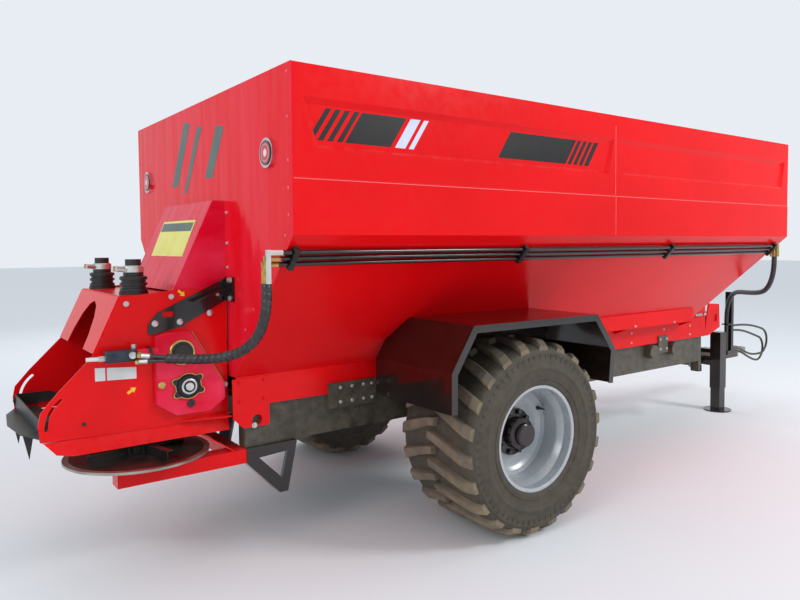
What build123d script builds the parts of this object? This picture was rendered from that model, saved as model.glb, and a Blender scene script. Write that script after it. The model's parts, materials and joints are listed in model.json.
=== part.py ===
from build123d import *
from math import asin, atan2, cos, degrees, pi, radians, sin, sqrt, tan
import os

# Trailed bulk spreader, millimetres. X forward towards the towing eye, Y to the left, Z up.
# While modelling, x = 0 is the hopper's rear wall. The finished pieces are moved
# so that the frame's origin is at the middle of the whole machine, on the ground.

# Hopper
hopper_length = 4626
hopper_half_width = 1200
hopper_top = 2507
seam_height = 1991
knuckle_height = 1732
foot_half_width = 493
foot_height = 979
front_lean = 344
front_foot_x = hopper_length - front_lean
front_gate_height = 146
front_gate_z = foot_height + front_gate_height
sheet = 5
weld_gap = 0.3
cut_past = 1
rim_width = 60
rim_lip = 25
front_bay_length = 1846
bay_split_x = hopper_length - front_bay_length
recess_drop = 147
recess_height = 230
recess_high = hopper_top - recess_drop
recess_low = recess_high - recess_height
recess_depth = 18
recess_end_margin = 62
recess_split_margin = 42
crease_step = 4
tie_width = 60
tie_height = 80
tie_drop = 60
opening_margin = 10
outlet_half_width = 392
outlet_top = 1405
outlet_bottom = 880

# Floor belt
belt_half_width = 375
belt_thickness = 8
roller_radius = 65
roller_overhang = 8
belt_drop = 17
belt_axis_z = foot_height - belt_drop
rear_roller_x = -239
front_roller_reach = 441
front_roller_x = front_foot_x + front_roller_reach
roller_pin_radius = 20
bearing_depth = 28
skirt_outer_y = 612
skirt_inner_y = 398
skirt_rise = 71
skirt_inner_z = foot_height + skirt_rise
skirt_thickness = 6

# Sills under the hopper
sill_bottom = 815
sill_thickness = 6
sill_fold = 45
sill_front_reach = 271
sill_front_x = front_foot_x + sill_front_reach
panel_y = 625
panel_bottom = foot_height + 16
panel_rear_reach = 2326
panel_rear_x = hopper_length - panel_rear_reach
pocket_length = 412
pocket_height = 130
pocket_lean = 100
gusset_thickness = 6
gusset_foot_z = foot_height - 39
bracket_thickness = 12
bracket_window = 64
bracket_window_lift = 10
bracket_outline = ((0, -114), (60, 136), (240, 121), (255, -99), (60, -164), (0, -164))  # from the sill's top front corner
bracket_arm = (-120, 20)
bracket_arm_z = (-129, -49)
bearing_block = (110, 95)

# Plates that close the rails at the rear
end_plate_outline = ((-18, 970), (190, 970), (190, 700), (40, 700), (-18, 760))
end_plate_sheet = 8
end_plate_lug = ((60, 180), (715, 803))
end_hole_x = 118
end_hole_z = 735
end_hole_radius = 30

# Chassis
rail_bottom = 582
rail_top = sill_bottom - weld_gap
rail_width = 80
rail_outer_y = 462
rail_rear_x = 60
rail_front_reach = 218
rail_front_x = front_foot_x + rail_front_reach
cross_member_z = 655.3
cross_member_height = 100
cross_member_width = 80
cross_member_x = (240, 900, 2300, 3300, rail_front_x - 120)
clamp_thickness = 10
clamp_table = ((560, 330), (front_foot_x - 472, 140))  # rear end, length
clamp_drop = 90
cup_x = (front_foot_x - 565, front_foot_x - 249)
cup_radius = 60
cup_z = 750
cup_depth = 68

# Drawbar
beam_width = 150
beam_rear_bottom = 505
beam_rear_height = 150
beam_front_bottom = 430
beam_front_height = 115
beam_rear_x = front_foot_x - 762
beam_knee_x = rail_front_x + 100
beam_level_x = rail_front_x + 500
beam_front_x = rail_front_x + 1400
strut_bottom = 480
strut_height = 60
strut_width = 90
strut_foot = 40
strut_stop = 60
eye_centre_x = beam_front_x + 185
eye_plate_thickness = 25
eye_radius = 60
eye_bore_radius = 25.4
eye_thickness = 45
eye_shank_radius = 32

# Axle and wheels
axle_x = 1462
axle_z = 570
axle_beam = 110
axle_beam_half_length = 780
stub_radius = 42
stub_half_length = 1150
wheel_centre_y = 1023.5
tyre_width = 627
tyre_radius = 570
carcass_radius = 536
shoulder_radius = 516
bead_radius = 293
lug_count = 22
lug_width = 48
lug_half_sweep = 75
lug_past_middle = 20
lug_end_inset = 14
lug_chamfer = (60, 32)
lug_root = 14
hub_clearance = 0.3
rim_half_width = 291
rim_flange_radius = 323
rim_well_radius = 262
rim_thickness = 7
rim_flange_depth = 16
disc_offset = 62
disc_bore_radius = 110
hub_flange_radius = 140
hub_flange_thickness = 22
hub_barrel_radius = 92
hub_cap_radius = 68
hub_face_y = 1229
hub_rear_y = 900
stud_count = 10
stud_circle_radius = 122
nut_radius = 15
nut_height = 22

# Fenders
fender_outer_y = 1333
fender_inner_y = 630
fender_sheet = 5
fender_lip = 40
fender_outline = ((808, 806), (810, 1022), (963, 1258), (1963, 1252), (2133, 1030), (2111, 812))
fender_wall_low = 900
fender_bracket_x = (1000, 1925)
fender_bracket_width = 60
fender_bracket_sheet = 12
fender_bracket_drop = 39
fender_bracket_height = 102

# Spinner housing behind the hopper
shield_y = 410
shield_sheet = 6
shield_outline = ((-549, 1435), (-285, 1458), (-12, 1458), (-12, 752), (-915, 771),
                  (-923, 849), (-911, 909), (-840, 993), (-673, 1164))
shield_flange_fold = 765
shield_flange_low = 690
shield_flange_lean = 24
shield_flange_x = (-905, -12)
shield_flange_trim = ((-1000, 680), (-734, 680), (-850, 705), (-915, 780), (-1000, 780))
shield_gusset = ((-330, -413), (-22, -413), (-22, -492), (-60, -492))
shield_gusset_z = 772
deck_z = 1442
deck_rear_x = -549
deck_half_width = 403
shaft_x = -460
shaft_y = 330
shaft_radius = 20
shaft_clearance = 0.3
spinner_radius = 350
spinner_step = 22
spinner_top = 630
spinner_thickness = 12
vane_height = 46
vane_inner = 70
vane_outer = 262
vane_width = 34
vane_sheet = 6
vane_angles = (15, 105, 195, 285)
hub_boss_radius = 48
bearing_radius = 60
bearing_length = 90
motor_radius = 48
motor_height = 115
motor_flange_radius = 70
motor_flange_height = 14
motor_head_radius = 38
motor_head_height = 62
arch_foot_x = -673
arch_foot_z = 1164
arch_peak_z = 1395
arch_half_width = 195
hood_top_z = 1927
hood_half_width = 392
hood_top_depth = 66
hood_foot_x = -285
hood_foot_z = 1452

# Deflector flap on the shields' tails
flap_pivot_x = -727
flap_pivot_z = 832
slot_radius = 161
slot_low_angle = 181
slot_high_angle = 127
slot_width = 14
cheek_y = 402
cheek_sheet = 6
pivot_bolt_radius = 9
slot_bolt_radius = 5
bolt_stand_out = 14
cheek_outline = ((-700, 845), (-740, 865), (-905, 868), (-925, 830), (-910, 800), (-700, 812))
flap_wall = ((-912, -906), (790, 866))
lip_half_outline = ((-800, 402), (-915, 402), (-975, 250))
lip_tip_x = -1000
lip_z = 784
lip_sheet = 6
flap_rib_outline = ((-905, 786), (-930, 640), (-960, 786))
flap_rib_y = (-180, 180)
flap_rib_sheet = 8

# Rear frame under the spinners
side_beam_y = 435
side_beam_width = 100
side_beam_bottom = 503
side_beam_height = 76
side_beam_rear_x = -600
side_beam_front_x = 60
guard_y = 490
guard_width = 100
guard_sheet = 8
guard_outline = ((0, 0), (300, 0), (240, -282), (190, -282), (0, -82))  # forward and down from the rail's rear end
guard_hollow = ((10, -10), (290, -10), (230, -270), (195, -270), (10, -80))
guard_hole = ((70, -62), (240, -52), (205, -200))
apron_top_x = -150
apron_top_z = 676

# Arms from the rear wall to the spinner housing
arm_sheet = 8
arm_foot_width = 90
arm_outline = ((-420, 1236), (-420, 1290), (-375, 1345), (-12, 1512), (-12, 1395), (-232, 1282), (-240, 1270))
arm_hole = ((-352, -292), (1322, 1350))
arm_foot = ((-14, -weld_gap), (1390, 1518))
arm_rib = ((-200, 1395), (-200, 1401), (-14, 1470), (-14, 1462))
arm_rib_width = 50

# Gearbox on the right shield
gear_cover_depth = 40
gear_cover_outline = ((-396, 1229), (-352, 1243), (-219, 1247), (-39, 950), (-39, 870), (-120, 812), (-300, 812), (-396, 880))
output_x = -239
upper_shaft_x = -266
upper_shaft_z = 1139
motor_block = ((-630, -480), (1115, 1185))
motor_block_width = 60
motor_stand_off = 35
motor_neck_z = 1150
motor_neck_radius = 28
ear_count = 6
ear_thickness = 10
ear_radius = 88
ear_ring_radius = 68
bearing_table = (  # x, z, radius, depth in front of the cover
    (output_x, belt_axis_z, 58, 24), (output_x, belt_axis_z, 20, 34),
    (upper_shaft_x, upper_shaft_z, 56, 8), (upper_shaft_x, upper_shaft_z, 40, 18),
    (-371, 981, 17, 8), (-225, 868, 17, 8))

# Lamps
lamp_y = 960
lamp_drop = 385
lamp_z = hopper_top - lamp_drop
lamp_radius = 71
lamp_depth = 16

# Hydraulic pipes along the right side
pipe_radius = 11
pipe_pitch = 27
pipe_top_z = 1652
pipe_rear_x = -30
pipe_front_x = hopper_length - 96
pipe_clamp_count = 4
pipe_clamp_first = 20
pipe_clamp_last = pipe_front_x - 55
pipe_clamp_width = 26
pipe_clamp_overhang = 24
pipe_strap = 10
pipe_standoff = 26
elbow_radius = 13
rear_elbow = (68, 1512)  # reach past the pipes, z of the lower end
front_elbow = (28, 1560)

# Hoses
bundle_radius = 25
socket_length = 160
front_bundle_radius = 22
loop_hose_radius = 11
holder_post_x = rail_front_x + 805
holder_post_size = (40, 70)
holder_y = -300
holder_top = 1180
holder_shelf_z = 860
holder_arm_height = 40
holder_rim = 6
holder_shelf_sheet = 12
holder_inner_y = -20
holder_clip = (30, 960, 990)  # width, low z, high z
bundle_drop_x = holder_post_x - 37

# Jack stand
jack_reach = 611
jack_x = rail_front_x + jack_reach
jack_y = -305
jack_tube_width = 110
jack_wall = 6
jack_cap = 10
jack_slide_gap = 0.3
jack_tube_bottom = 226
jack_top = 790
jack_leg_top = 390
jack_foot_radius = 130
jack_foot_thickness = 12

rear_reach = -1000
front_reach = eye_centre_x + eye_radius
middle_x = (rear_reach + front_reach) / 2


def box(x, y, z):
    """A block between two limits along each axis."""
    size = (x[1] - x[0], y[1] - y[0], z[1] - z[0])
    return Pos((x[0] + x[1]) / 2, (y[0] + y[1]) / 2, (z[0] + z[1]) / 2) * Box(*size)


def plate_y(outline, y, thickness):
    """A flat plate with an x, z outline, from y towards +Y."""
    plane = Plane(origin=(0, y, 0), x_dir=(1, 0, 0), z_dir=(0, -1, 0))
    return extrude(plane * Polygon(*outline, align=None), amount=thickness, dir=(0, 1, 0))


def plate_x(outline, x, thickness):
    """A flat plate with a y, z outline, from x towards +X."""
    plane = Plane(origin=(x, 0, 0), x_dir=(0, 1, 0), z_dir=(1, 0, 0))
    return extrude(plane * Polygon(*outline, align=None), amount=thickness, dir=(1, 0, 0))


def plate_z(outline, z, thickness):
    """A flat plate with an x, y outline, from z upwards."""
    return extrude(Plane.XY.offset(z) * Polygon(*outline, align=None), amount=thickness, dir=(0, 0, 1))


def rod_x(y, z, radius, x):
    """A round bar along X."""
    return Pos((x[0] + x[1]) / 2, y, z) * Rot(0, 90, 0) * Cylinder(radius, x[1] - x[0])


def rod_y(x, z, radius, y):
    """A round bar along Y."""
    return Pos(x, (y[0] + y[1]) / 2, z) * Rot(90, 0, 0) * Cylinder(radius, y[1] - y[0])


def rod_z(x, y, radius, z):
    """A round bar along Z."""
    return Pos(x, y, (z[0] + z[1]) / 2) * Cylinder(radius, z[1] - z[0])


def band(points, thickness):
    """Outline of a strip of sheet that follows a folded line, on the line's left."""
    side = []
    for i, (a, b) in enumerate(points):
        before = points[max(i - 1, 0)]
        after = points[min(i + 1, len(points) - 1)]
        first = Vector(a - before[0], b - before[1])
        last = Vector(after[0] - a, after[1] - b)
        first = first.normalized() if first.length else last.normalized()
        last = last.normalized() if last.length else first
        normal = (Vector(-first.Y, first.X) + Vector(-last.Y, last.X)).normalized()
        reach = thickness / (normal.X * -first.Y + normal.Y * first.X)
        side.append((a + normal.X * reach, b + normal.Y * reach))
    return list(points) + side[::-1]


def both_sides(right):
    """The right-hand piece and its mirror image as one list of solids."""
    return [right, mirror(right, about=Plane.XZ)]


slope_angle = atan2(knuckle_height - foot_height, hopper_half_width - foot_half_width)
front_slope = (hopper_length - front_foot_x) / (knuckle_height - foot_height)


def slope_z(y):
    """Height of the slope's outside at a distance y from the centre line."""
    return foot_height + (y - foot_half_width) * tan(slope_angle)


def hopper_side_right():
    """Upper wall with a folded rim, a crease and two pressed recesses."""
    y = -hopper_half_width
    upper_y = y + crease_step
    line = [(upper_y + rim_width, hopper_top - rim_lip), (upper_y + rim_width, hopper_top), (upper_y, hopper_top),
            (upper_y, seam_height + crease_step), (y, seam_height - crease_step), (y, knuckle_height)]
    wall = plate_x(band(line, sheet), sheet + weld_gap, hopper_length - 2 * (sheet + weld_gap))
    bays = ((recess_end_margin, bay_split_x - recess_split_margin),
            (bay_split_x + recess_split_margin, hopper_length - recess_end_margin))
    for start, end in bays:
        wall += plate_y(recess_outline(start, end, sheet), upper_y, recess_depth + sheet)
        wall -= plate_y(recess_outline(start, end, 0), y - 1, crease_step + recess_depth + 1)
    return wall


def recess_outline(start, end, grow):
    """A long recess, larger all round by grow."""
    low = recess_low - grow
    high = recess_high + grow
    return ((start - grow, low), (start - grow, high), (end + grow, high), (end + grow, low))


def front_cutter():
    """Everything ahead of the sloping front wall."""
    reach = 400
    low_x = front_foot_x - 200 * front_slope - weld_gap
    return plate_y(((low_x, foot_height - 200), (hopper_length - weld_gap, knuckle_height),
                    (hopper_length - weld_gap, knuckle_height + 50), (hopper_length + reach, knuckle_height + 50),
                    (hopper_length + reach, foot_height - 200)), -hopper_half_width - 100, 2 * hopper_half_width + 200)


def hopper_slope_right():
    """Sloping lower wall from the knuckle down to the sill."""
    above = 20
    line = [(-hopper_half_width - above / tan(slope_angle), knuckle_height + above), (-foot_half_width, foot_height)]
    wall = plate_x(band(line, sheet), sheet + weld_gap, hopper_length)
    wall -= box((0, hopper_length + 20), (-hopper_half_width - 50, 0), (knuckle_height - weld_gap, hopper_top))
    return wall - front_cutter()


def section_outline(inset):
    """The hopper's cross-section, moved in by a wall's thickness."""
    side = hopper_half_width - inset
    knuckle = slope_z(side) + inset / cos(slope_angle)
    foot = foot_half_width - inset / sin(slope_angle)
    return ((-side, hopper_top), (side, hopper_top), (side, knuckle), (foot, foot_height),
            (-foot, foot_height), (-side, knuckle))


def hopper_front():
    """Front wall, upright above the knuckle and leaning back below it."""
    line = [(front_foot_x, foot_height), (hopper_length, knuckle_height), (hopper_length, hopper_top)]
    wall = plate_y(band(line, sheet), -hopper_half_width, 2 * hopper_half_width)
    wall &= plate_x(section_outline(sheet + weld_gap), 0, hopper_length + 10)
    return wall - box((front_foot_x - 50, hopper_length), (-skirt_outer_y, skirt_outer_y), (foot_height - 1, front_gate_z))


def hopper_rear():
    """Rear wall with the opening that the belt runs through."""
    wall = plate_x(section_outline(0), 0, sheet)
    return wall - box((-1, sheet + 1), (-outlet_half_width, outlet_half_width), (outlet_bottom, outlet_top))


def hopper_ties():
    """Cross tie inside the rim at the joint of the two side panels."""
    half = hopper_half_width - crease_step - sheet - weld_gap
    top = hopper_top - tie_drop
    return box((bay_split_x - tie_width / 2, bay_split_x + tie_width / 2), (-half, half), (top - tie_height, top))


def belt_skirts():
    """Strips that lead from the slopes in to the belt's edges."""
    strips = []
    line = [(-skirt_outer_y + 12, slope_z(skirt_outer_y) + 2), (-skirt_inner_y, skirt_inner_z)]
    right = plate_x(band(line, skirt_thickness), sheet + weld_gap, hopper_length)
    lift = sheet / cos(slope_angle) + weld_gap
    right = Pos(0, 0, lift) * right - Pos(-sheet, 0, 0) * front_cutter()
    return Compound(both_sides(right))


def stadium(radius):
    """Outline of the belt's path, at a distance from the roller axes."""
    plane = Plane(origin=(rear_roller_x, 0, belt_axis_z), x_dir=(1, 0, 0), z_dir=(0, -1, 0))
    span = front_roller_x - rear_roller_x
    tips = Circle(radius) + Pos(span, 0) * Circle(radius) + Pos(span / 2, 0) * Rectangle(span, 2 * radius)
    return plane * tips


def floor_belt():
    """Endless belt that carries the load to the rear."""
    outer = extrude(stadium(roller_radius + belt_thickness), amount=belt_half_width, both=True)
    inner = extrude(stadium(roller_radius + weld_gap), amount=belt_half_width + 1, both=True)
    return outer - inner


def belt_rollers():
    """Drive drum and tail drum with their shafts."""
    half = belt_half_width + roller_overhang
    drums = []
    for x, reach in ((rear_roller_x, shield_y - weld_gap), (front_roller_x, foot_half_width - bearing_depth - weld_gap)):
        drum = rod_y(x, belt_axis_z, roller_radius, (-half, half))
        drum += rod_y(x, belt_axis_z, roller_pin_radius, (-reach, reach))
        drums.append(drum)
    return Compound(drums)


def sill_right():
    """Upright sheet with a lower fold, and the cover panel that hangs ahead of the wheel."""
    y = -foot_half_width
    line = [(y, foot_height - weld_gap), (y, sill_bottom), (y + sill_fold, sill_bottom)]
    sill = plate_x(band(line, sill_thickness), sheet, sill_front_x - sheet)
    panel_top = slope_z(panel_y - sheet) - 1
    panel_front_x = sill_front_x - pocket_length
    length = panel_front_x - panel_rear_x
    sill += plate_x(band([(-panel_y, panel_top), (-panel_y, panel_bottom), (-panel_y + sill_fold, panel_bottom)],
                         sheet), panel_rear_x, length)
    rear, front = front_foot_x + pocket_lean, sill_front_x - 1
    wall = ((rear, foot_height - cut_past), (front, foot_height - cut_past), (front, foot_height + pocket_height),
            (rear + pocket_lean, foot_height + pocket_height))
    sill += plate_y(wall, y, sill_thickness)
    gusset = ((y + 2, gusset_foot_z), (y + 2, foot_height - 2), (1 - panel_y, panel_bottom + sheet - 1),
              (1 - panel_y, panel_bottom + 1))
    for share in (0, 0.5, 1):
        sill += plate_x(gusset, panel_rear_x + share * (length - gusset_thickness), gusset_thickness)
    return sill


def front_bracket_right():
    """Bearing bracket of the front drum, with its square window."""
    y = -foot_half_width
    x0 = sill_front_x + weld_gap
    plate = plate_y([(x0 + dx, foot_height + dz) for dx, dz in bracket_outline], y, bracket_thickness)
    half = bracket_window / 2
    low = belt_axis_z + bracket_window_lift - half
    plate -= box((front_roller_x - half, front_roller_x + half), (y - cut_past, y + bracket_thickness + cut_past),
                 (low, low + bracket_window))
    long, high = bearing_block
    block = box((front_roller_x - long / 2, front_roller_x + long / 2), (y + bracket_thickness, y + bearing_depth),
                (belt_axis_z - high / 2, belt_axis_z + high / 2))
    arm_rear, arm_front = bracket_arm
    arm_low, arm_high = bracket_arm_z
    arm = box((x0 + arm_rear, x0 + arm_front), (y + sill_thickness + weld_gap, y + bracket_thickness + 8),
              (foot_height + arm_low, foot_height + arm_high))
    return plate + block + arm


def chassis_rails():
    """Two side rails, notched for the axle."""
    rail = box((rail_rear_x, rail_front_x), (-rail_outer_y, rail_width - rail_outer_y), (rail_bottom, rail_top))
    hole = axle_beam / 2 + weld_gap
    rail -= box((axle_x - hole, axle_x + hole), (-rail_outer_y - 1, 1 - rail_outer_y + rail_width),
                (rail_bottom - 1, axle_z + hole))
    return Compound(both_sides(rail))


def cross_members():
    """Members between the rails."""
    half = rail_outer_y - rail_width - weld_gap
    return Compound([box((x - cross_member_width / 2, x + cross_member_width / 2), (-half, half),
                         (cross_member_z, cross_member_z + cross_member_height)) for x in cross_member_x])


def body_clamps():
    """Bolted plates that tie the sills to the rails, and two round cups on each rail."""
    clamps = []
    for x, width in clamp_table:
        plate = box((x, x + width), (-foot_half_width - clamp_thickness - weld_gap, -foot_half_width - weld_gap),
                    (sill_bottom - clamp_drop, sill_bottom + 60))
        foot = box((x, x + width), (-foot_half_width - weld_gap, -rail_outer_y - weld_gap),
                   (sill_bottom - clamp_drop, sill_bottom - weld_gap))
        clamps += both_sides(plate + foot)
    for x in cup_x:
        clamps += both_sides(rod_y(x, cup_z, cup_radius, (-rail_outer_y - weld_gap - cup_depth, -rail_outer_y - weld_gap)))
    return Compound(clamps)


def rear_end_plates():
    """Plates with a round cut-out that close the rails at the rear."""
    y = -foot_half_width - weld_gap
    span_x, span_z = end_plate_lug
    plate = plate_y(end_plate_outline, y - end_plate_sheet, end_plate_sheet)
    plate += box(span_x, (y, -rail_outer_y - weld_gap), span_z)
    plate -= rod_y(end_hole_x, end_hole_z, end_hole_radius, (y - end_plate_sheet - cut_past, cut_past - rail_outer_y))
    return Compound(both_sides(plate))


def drawbar():
    """Central beam that drops to the eye, with two struts that spread to the rails."""
    half = beam_width / 2
    rear_top = beam_rear_bottom + beam_rear_height
    front_top = beam_front_bottom + beam_front_height
    side = ((beam_rear_x, beam_rear_bottom), (beam_rear_x, rear_top), (beam_knee_x, rear_top),
            (beam_level_x, front_top), (beam_front_x, front_top), (beam_front_x, beam_front_bottom),
            (beam_level_x, beam_front_bottom), (beam_knee_x, beam_rear_bottom))
    beam = plate_y(side, -half, beam_width)
    inner = rail_outer_y - rail_width
    foot_x = rail_front_x + strut_foot
    for side in (-1, 1):
        strut = ((foot_x, side * inner), (foot_x, side * (inner + strut_width)),
                 (jack_x - strut_stop, side * half), (jack_x - strut_stop - 130, side * half / 2))
        beam += plate_z(strut, strut_bottom, strut_height)
        beam += box((rail_front_x + weld_gap, foot_x), sorted((side * inner, side * rail_outer_y)),
                    (strut_bottom, rail_top))
    return beam


def towing_eye():
    """Ring with a shank, bolted to the beam's front plate."""
    z = beam_front_bottom + beam_front_height / 2
    half = beam_front_height / 2
    ring = rod_z(eye_centre_x, 0, eye_radius, (z - eye_thickness / 2, z + eye_thickness / 2))
    plate_front = beam_front_x + eye_plate_thickness
    neck = ((plate_front - 1, -half * 0.8), (plate_front - 1, half * 0.8), (eye_centre_x - 20, eye_radius * 0.8),
            (eye_centre_x - 20, -eye_radius * 0.8))
    shank = plate_z(neck, z - eye_thickness / 2, eye_thickness)
    plate = box((beam_front_x + weld_gap, plate_front), (-beam_width / 2, beam_width / 2), (z - half, z + half))
    eye = ring + shank + plate
    return eye - rod_z(eye_centre_x, 0, eye_bore_radius, (z - eye_thickness, z + eye_thickness))


def axle():
    """Square axle beam with a round stub at each end."""
    half = axle_beam / 2
    beam = box((axle_x - half, axle_x + half), (-axle_beam_half_length, axle_beam_half_length),
               (axle_z - half, axle_z + half))
    beam += rod_y(axle_x, axle_z, stub_radius, (-stub_half_length, stub_half_length))
    return beam


def wheel_plane():
    """Plane through the wheel's axis: across is the radius, up is outboard."""
    return Plane(origin=(axle_x, -wheel_centre_y, axle_z), x_dir=(1, 0, 0), z_dir=(0, 0, -1))


wheel_axis = Axis((axle_x, -wheel_centre_y, axle_z), (0, 1, 0))


def turned(profile):
    """A solid turned about the right wheel's axis from (radius, outboard distance) points."""
    face = wheel_plane() * Polygon(*profile, align=None)
    return revolve(face, wheel_axis, 360)


def tyre_right():
    """Closed carcass turned about the axle, with two rows of staggered slanted lugs."""
    half = tyre_width / 2
    seat = rim_half_width - rim_flange_depth - weld_gap
    flank = ((bead_radius + weld_gap, seat - 3), (bead_radius + 137, half), (shoulder_radius, half - 10),
             (carcass_radius, half - 60))
    carcass = turned([(r, d) for r, d in flank] + [(r, -d) for r, d in flank[::-1]])
    step = 360 / lug_count
    lugs = []
    for side in (-1, 1):
        lug = tread_lug(side)
        for i in range(lug_count):
            turn = i * step + (step / 2 if side > 0 else 0)
            lugs.append(lug.rotate(wheel_axis, turn))
    return carcass + lugs


def tread_lug(side):
    """One flat-topped lug whose rear end is at the bottom of the tyre: its plan cut with its section."""
    top = axle_z - sqrt(tyre_radius ** 2 - lug_half_sweep ** 2)
    low = axle_z - carcass_radius + lug_root
    end = tyre_width / 2 - lug_end_inset
    inner_y = -wheel_centre_y - side * lug_past_middle
    outer_y = -wheel_centre_y + side * end
    plan = ((axle_x - lug_half_sweep, inner_y), (axle_x - lug_half_sweep + lug_width, inner_y),
            (axle_x + lug_half_sweep, outer_y), (axle_x + lug_half_sweep - lug_width, outer_y))
    across, down = lug_chamfer
    section = ((inner_y, low), (inner_y, top), (outer_y - side * across, top), (outer_y, top + down), (outer_y, low + 30))
    lug = plate_z(plan, top, low + 30 - top) & plate_x(section, axle_x - 100, 200)
    return lug.rotate(wheel_axis, -degrees(asin(lug_half_sweep / tyre_radius)))


def rim_right():
    """Deep-dished rim with its disc."""
    h = rim_half_width
    f = rim_flange_radius
    w = rim_well_radius
    b = bead_radius
    t = rim_thickness
    seat = h - rim_flange_depth
    profile = ((f, h), (f, h - 8), (b, seat), (b, h - 60), (w + t, h - 110), (w + t, -60), (b, -h + 110),
               (b, -seat), (f, -h + 8), (f, -h), (b - t, -h + 4), (b - t, -h + 112), (w, -58),
               (w, disc_offset - 8), (disc_bore_radius, disc_offset - 8), (disc_bore_radius, disc_offset + 4),
               (w - 40, disc_offset + 4), (w - 26, disc_offset + 24), (w, disc_offset + 24),
               (w, h - 108), (b - t, h - 62), (b - t, h - 4))
    return turned(profile)


def hub_right():
    """Hub with its flange, wheel nuts and cap."""
    disc_y = disc_offset + 4
    out = wheel_centre_y
    bore = stub_radius + hub_clearance
    flange_y = disc_y + hub_flange_thickness
    face = hub_face_y - out
    profile = ((bore, hub_rear_y - out), (hub_barrel_radius, hub_rear_y - out), (hub_barrel_radius, disc_y + weld_gap),
               (hub_flange_radius, disc_y + weld_gap), (hub_flange_radius, flange_y), (hub_barrel_radius, flange_y + 8),
               (hub_barrel_radius, face - 44), (hub_cap_radius, face - 36), (hub_cap_radius, face - 6),
               (hub_cap_radius - 8, face), (0, face), (0, stub_half_length - out + 1), (bore, stub_half_length - out + 1))
    hub = turned(profile)
    for i in range(stud_count):
        turn = radians(i * 360 / stud_count)
        x = axle_x + stud_circle_radius * cos(turn)
        z = axle_z + stud_circle_radius * sin(turn)
        nut = RegularPolygon(nut_radius, 6)
        plane = Plane(origin=(x, -out - flange_y + 1, z), x_dir=(1, 0, 0), z_dir=(0, -1, 0))
        hub += extrude(plane * nut, amount=nut_height)
    return hub


def fender_right():
    """Angular mudguard with an outer lip, cut to the slope, on two brackets from the sill."""
    line = fender_outline[::-1]
    shell = plate_y(band(line, fender_sheet), -fender_outer_y, fender_outer_y - fender_inner_y)
    face = plate_y(band(line, fender_lip), -fender_outer_y, fender_sheet)
    rear, front = fender_outline[1][0], fender_outline[4][0]
    wall = ((rear, fender_wall_low), (rear, fender_outline[1][1]), fender_outline[2], fender_outline[3],
            (front, fender_outline[4][1]), (front, fender_wall_low))
    guard = shell + face + plate_y(wall, -fender_inner_y - fender_sheet, fender_sheet)
    for x in fender_bracket_x:
        span = (x, x + fender_bracket_width)
        sill_side = -foot_half_width - weld_gap
        low = foot_height - fender_bracket_drop
        high = low + fender_bracket_sheet
        guard += box(span, (-fender_inner_y - cut_past, sill_side), (low, high))
        guard += box(span, (sill_side - fender_bracket_sheet, sill_side), (high - fender_bracket_height, high))
    return guard - hopper_slope_keepout()


def hopper_slope_keepout():
    """The space above the slope's outside, which nothing below may enter."""
    gap = 1
    outer = -hopper_half_width - 200
    inner = -foot_half_width + 100
    return plate_x(((outer, knuckle_height - gap), (-hopper_half_width, knuckle_height - gap),
                    (-foot_half_width, foot_height - gap), (inner, foot_height - gap), (inner, hopper_top),
                    (outer, hopper_top)), 0, hopper_length)





def shield_right():
    """Side plate of the spinner housing with its slot and lower flange."""
    plate = plate_y(shield_outline, -shield_y - shield_sheet, shield_sheet)
    rear, front = shield_flange_x
    fold = [(-shield_y, shield_flange_fold), (-shield_y - shield_flange_lean, shield_flange_low)]
    flange = plate_x(band(fold, shield_sheet), rear, front - rear)
    plate += flange - plate_y(shield_flange_trim, -shield_y - 60, 120)
    arc = CenterArc((flap_pivot_x, flap_pivot_z), slot_radius, slot_high_angle, slot_low_angle - slot_high_angle)
    plane = Plane(origin=(0, -shield_y - 10, 0), x_dir=(1, 0, 0), z_dir=(0, -1, 0))
    plate -= extrude(plane * SlotArc(arc, slot_width), amount=20, dir=(0, 1, 0))
    plate -= rod_y(flap_pivot_x, flap_pivot_z, pivot_bolt_radius + hub_clearance, (-shield_y - 10, -shield_y + 5))
    plate -= rod_y(output_x, belt_axis_z, roller_pin_radius + 2, (-shield_y - 10, -shield_y + 5))
    plate += plate_z(shield_gusset, shield_gusset_z, shield_sheet)
    return plate


def deck():
    """Deck between the shields that carries the two motors."""
    half = shield_y - weld_gap
    plate = plate_z(((deck_rear_x, -half), (-1, -half), (-1, half), (deck_rear_x, half)), deck_z - 6, 6)
    for side in (-1, 1):
        plate += rod_z(shaft_x, side * shaft_y, bearing_radius, (deck_z - bearing_length, deck_z - 5))
        plate -= rod_z(shaft_x, side * shaft_y, shaft_radius + shaft_clearance, (deck_z - 200, deck_z + 10))
    return plate


def rear_arch():
    """Leaning plate between the shields with a tall rounded opening."""
    half = shield_y - weld_gap
    plate = plate_y(band([(arch_foot_x, arch_foot_z), (deck_rear_x, deck_z - 7)], shield_sheet), -half, 2 * half)
    rise = arch_peak_z - arch_foot_z + 30
    steps = [i / 8 * pi for i in range(9)]
    opening = [(arch_half_width * cos(a), arch_foot_z - 30 + rise * sin(a)) for a in steps]
    return plate - plate_x(opening, arch_foot_x - 50, 300)


def hood():
    """Wedge-shaped cover over the outlet, leaning back from the rear wall."""
    t = 4
    w = hood_half_width
    x0 = -weld_gap
    side = ((x0, hood_foot_z), (x0, hood_top_z), (-hood_top_depth, hood_top_z), (hood_foot_x, hood_foot_z))
    body = plate_y(side, -w, 2 * w)
    hollow = ((x0 + 1, hood_foot_z - 1), (x0 + 1, hood_top_z - t), (-hood_top_depth + 2, hood_top_z - t),
              (hood_foot_x + t + 2, hood_foot_z - 1))
    return body - plate_y(hollow, -w + t, 2 * (w - t))


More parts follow.
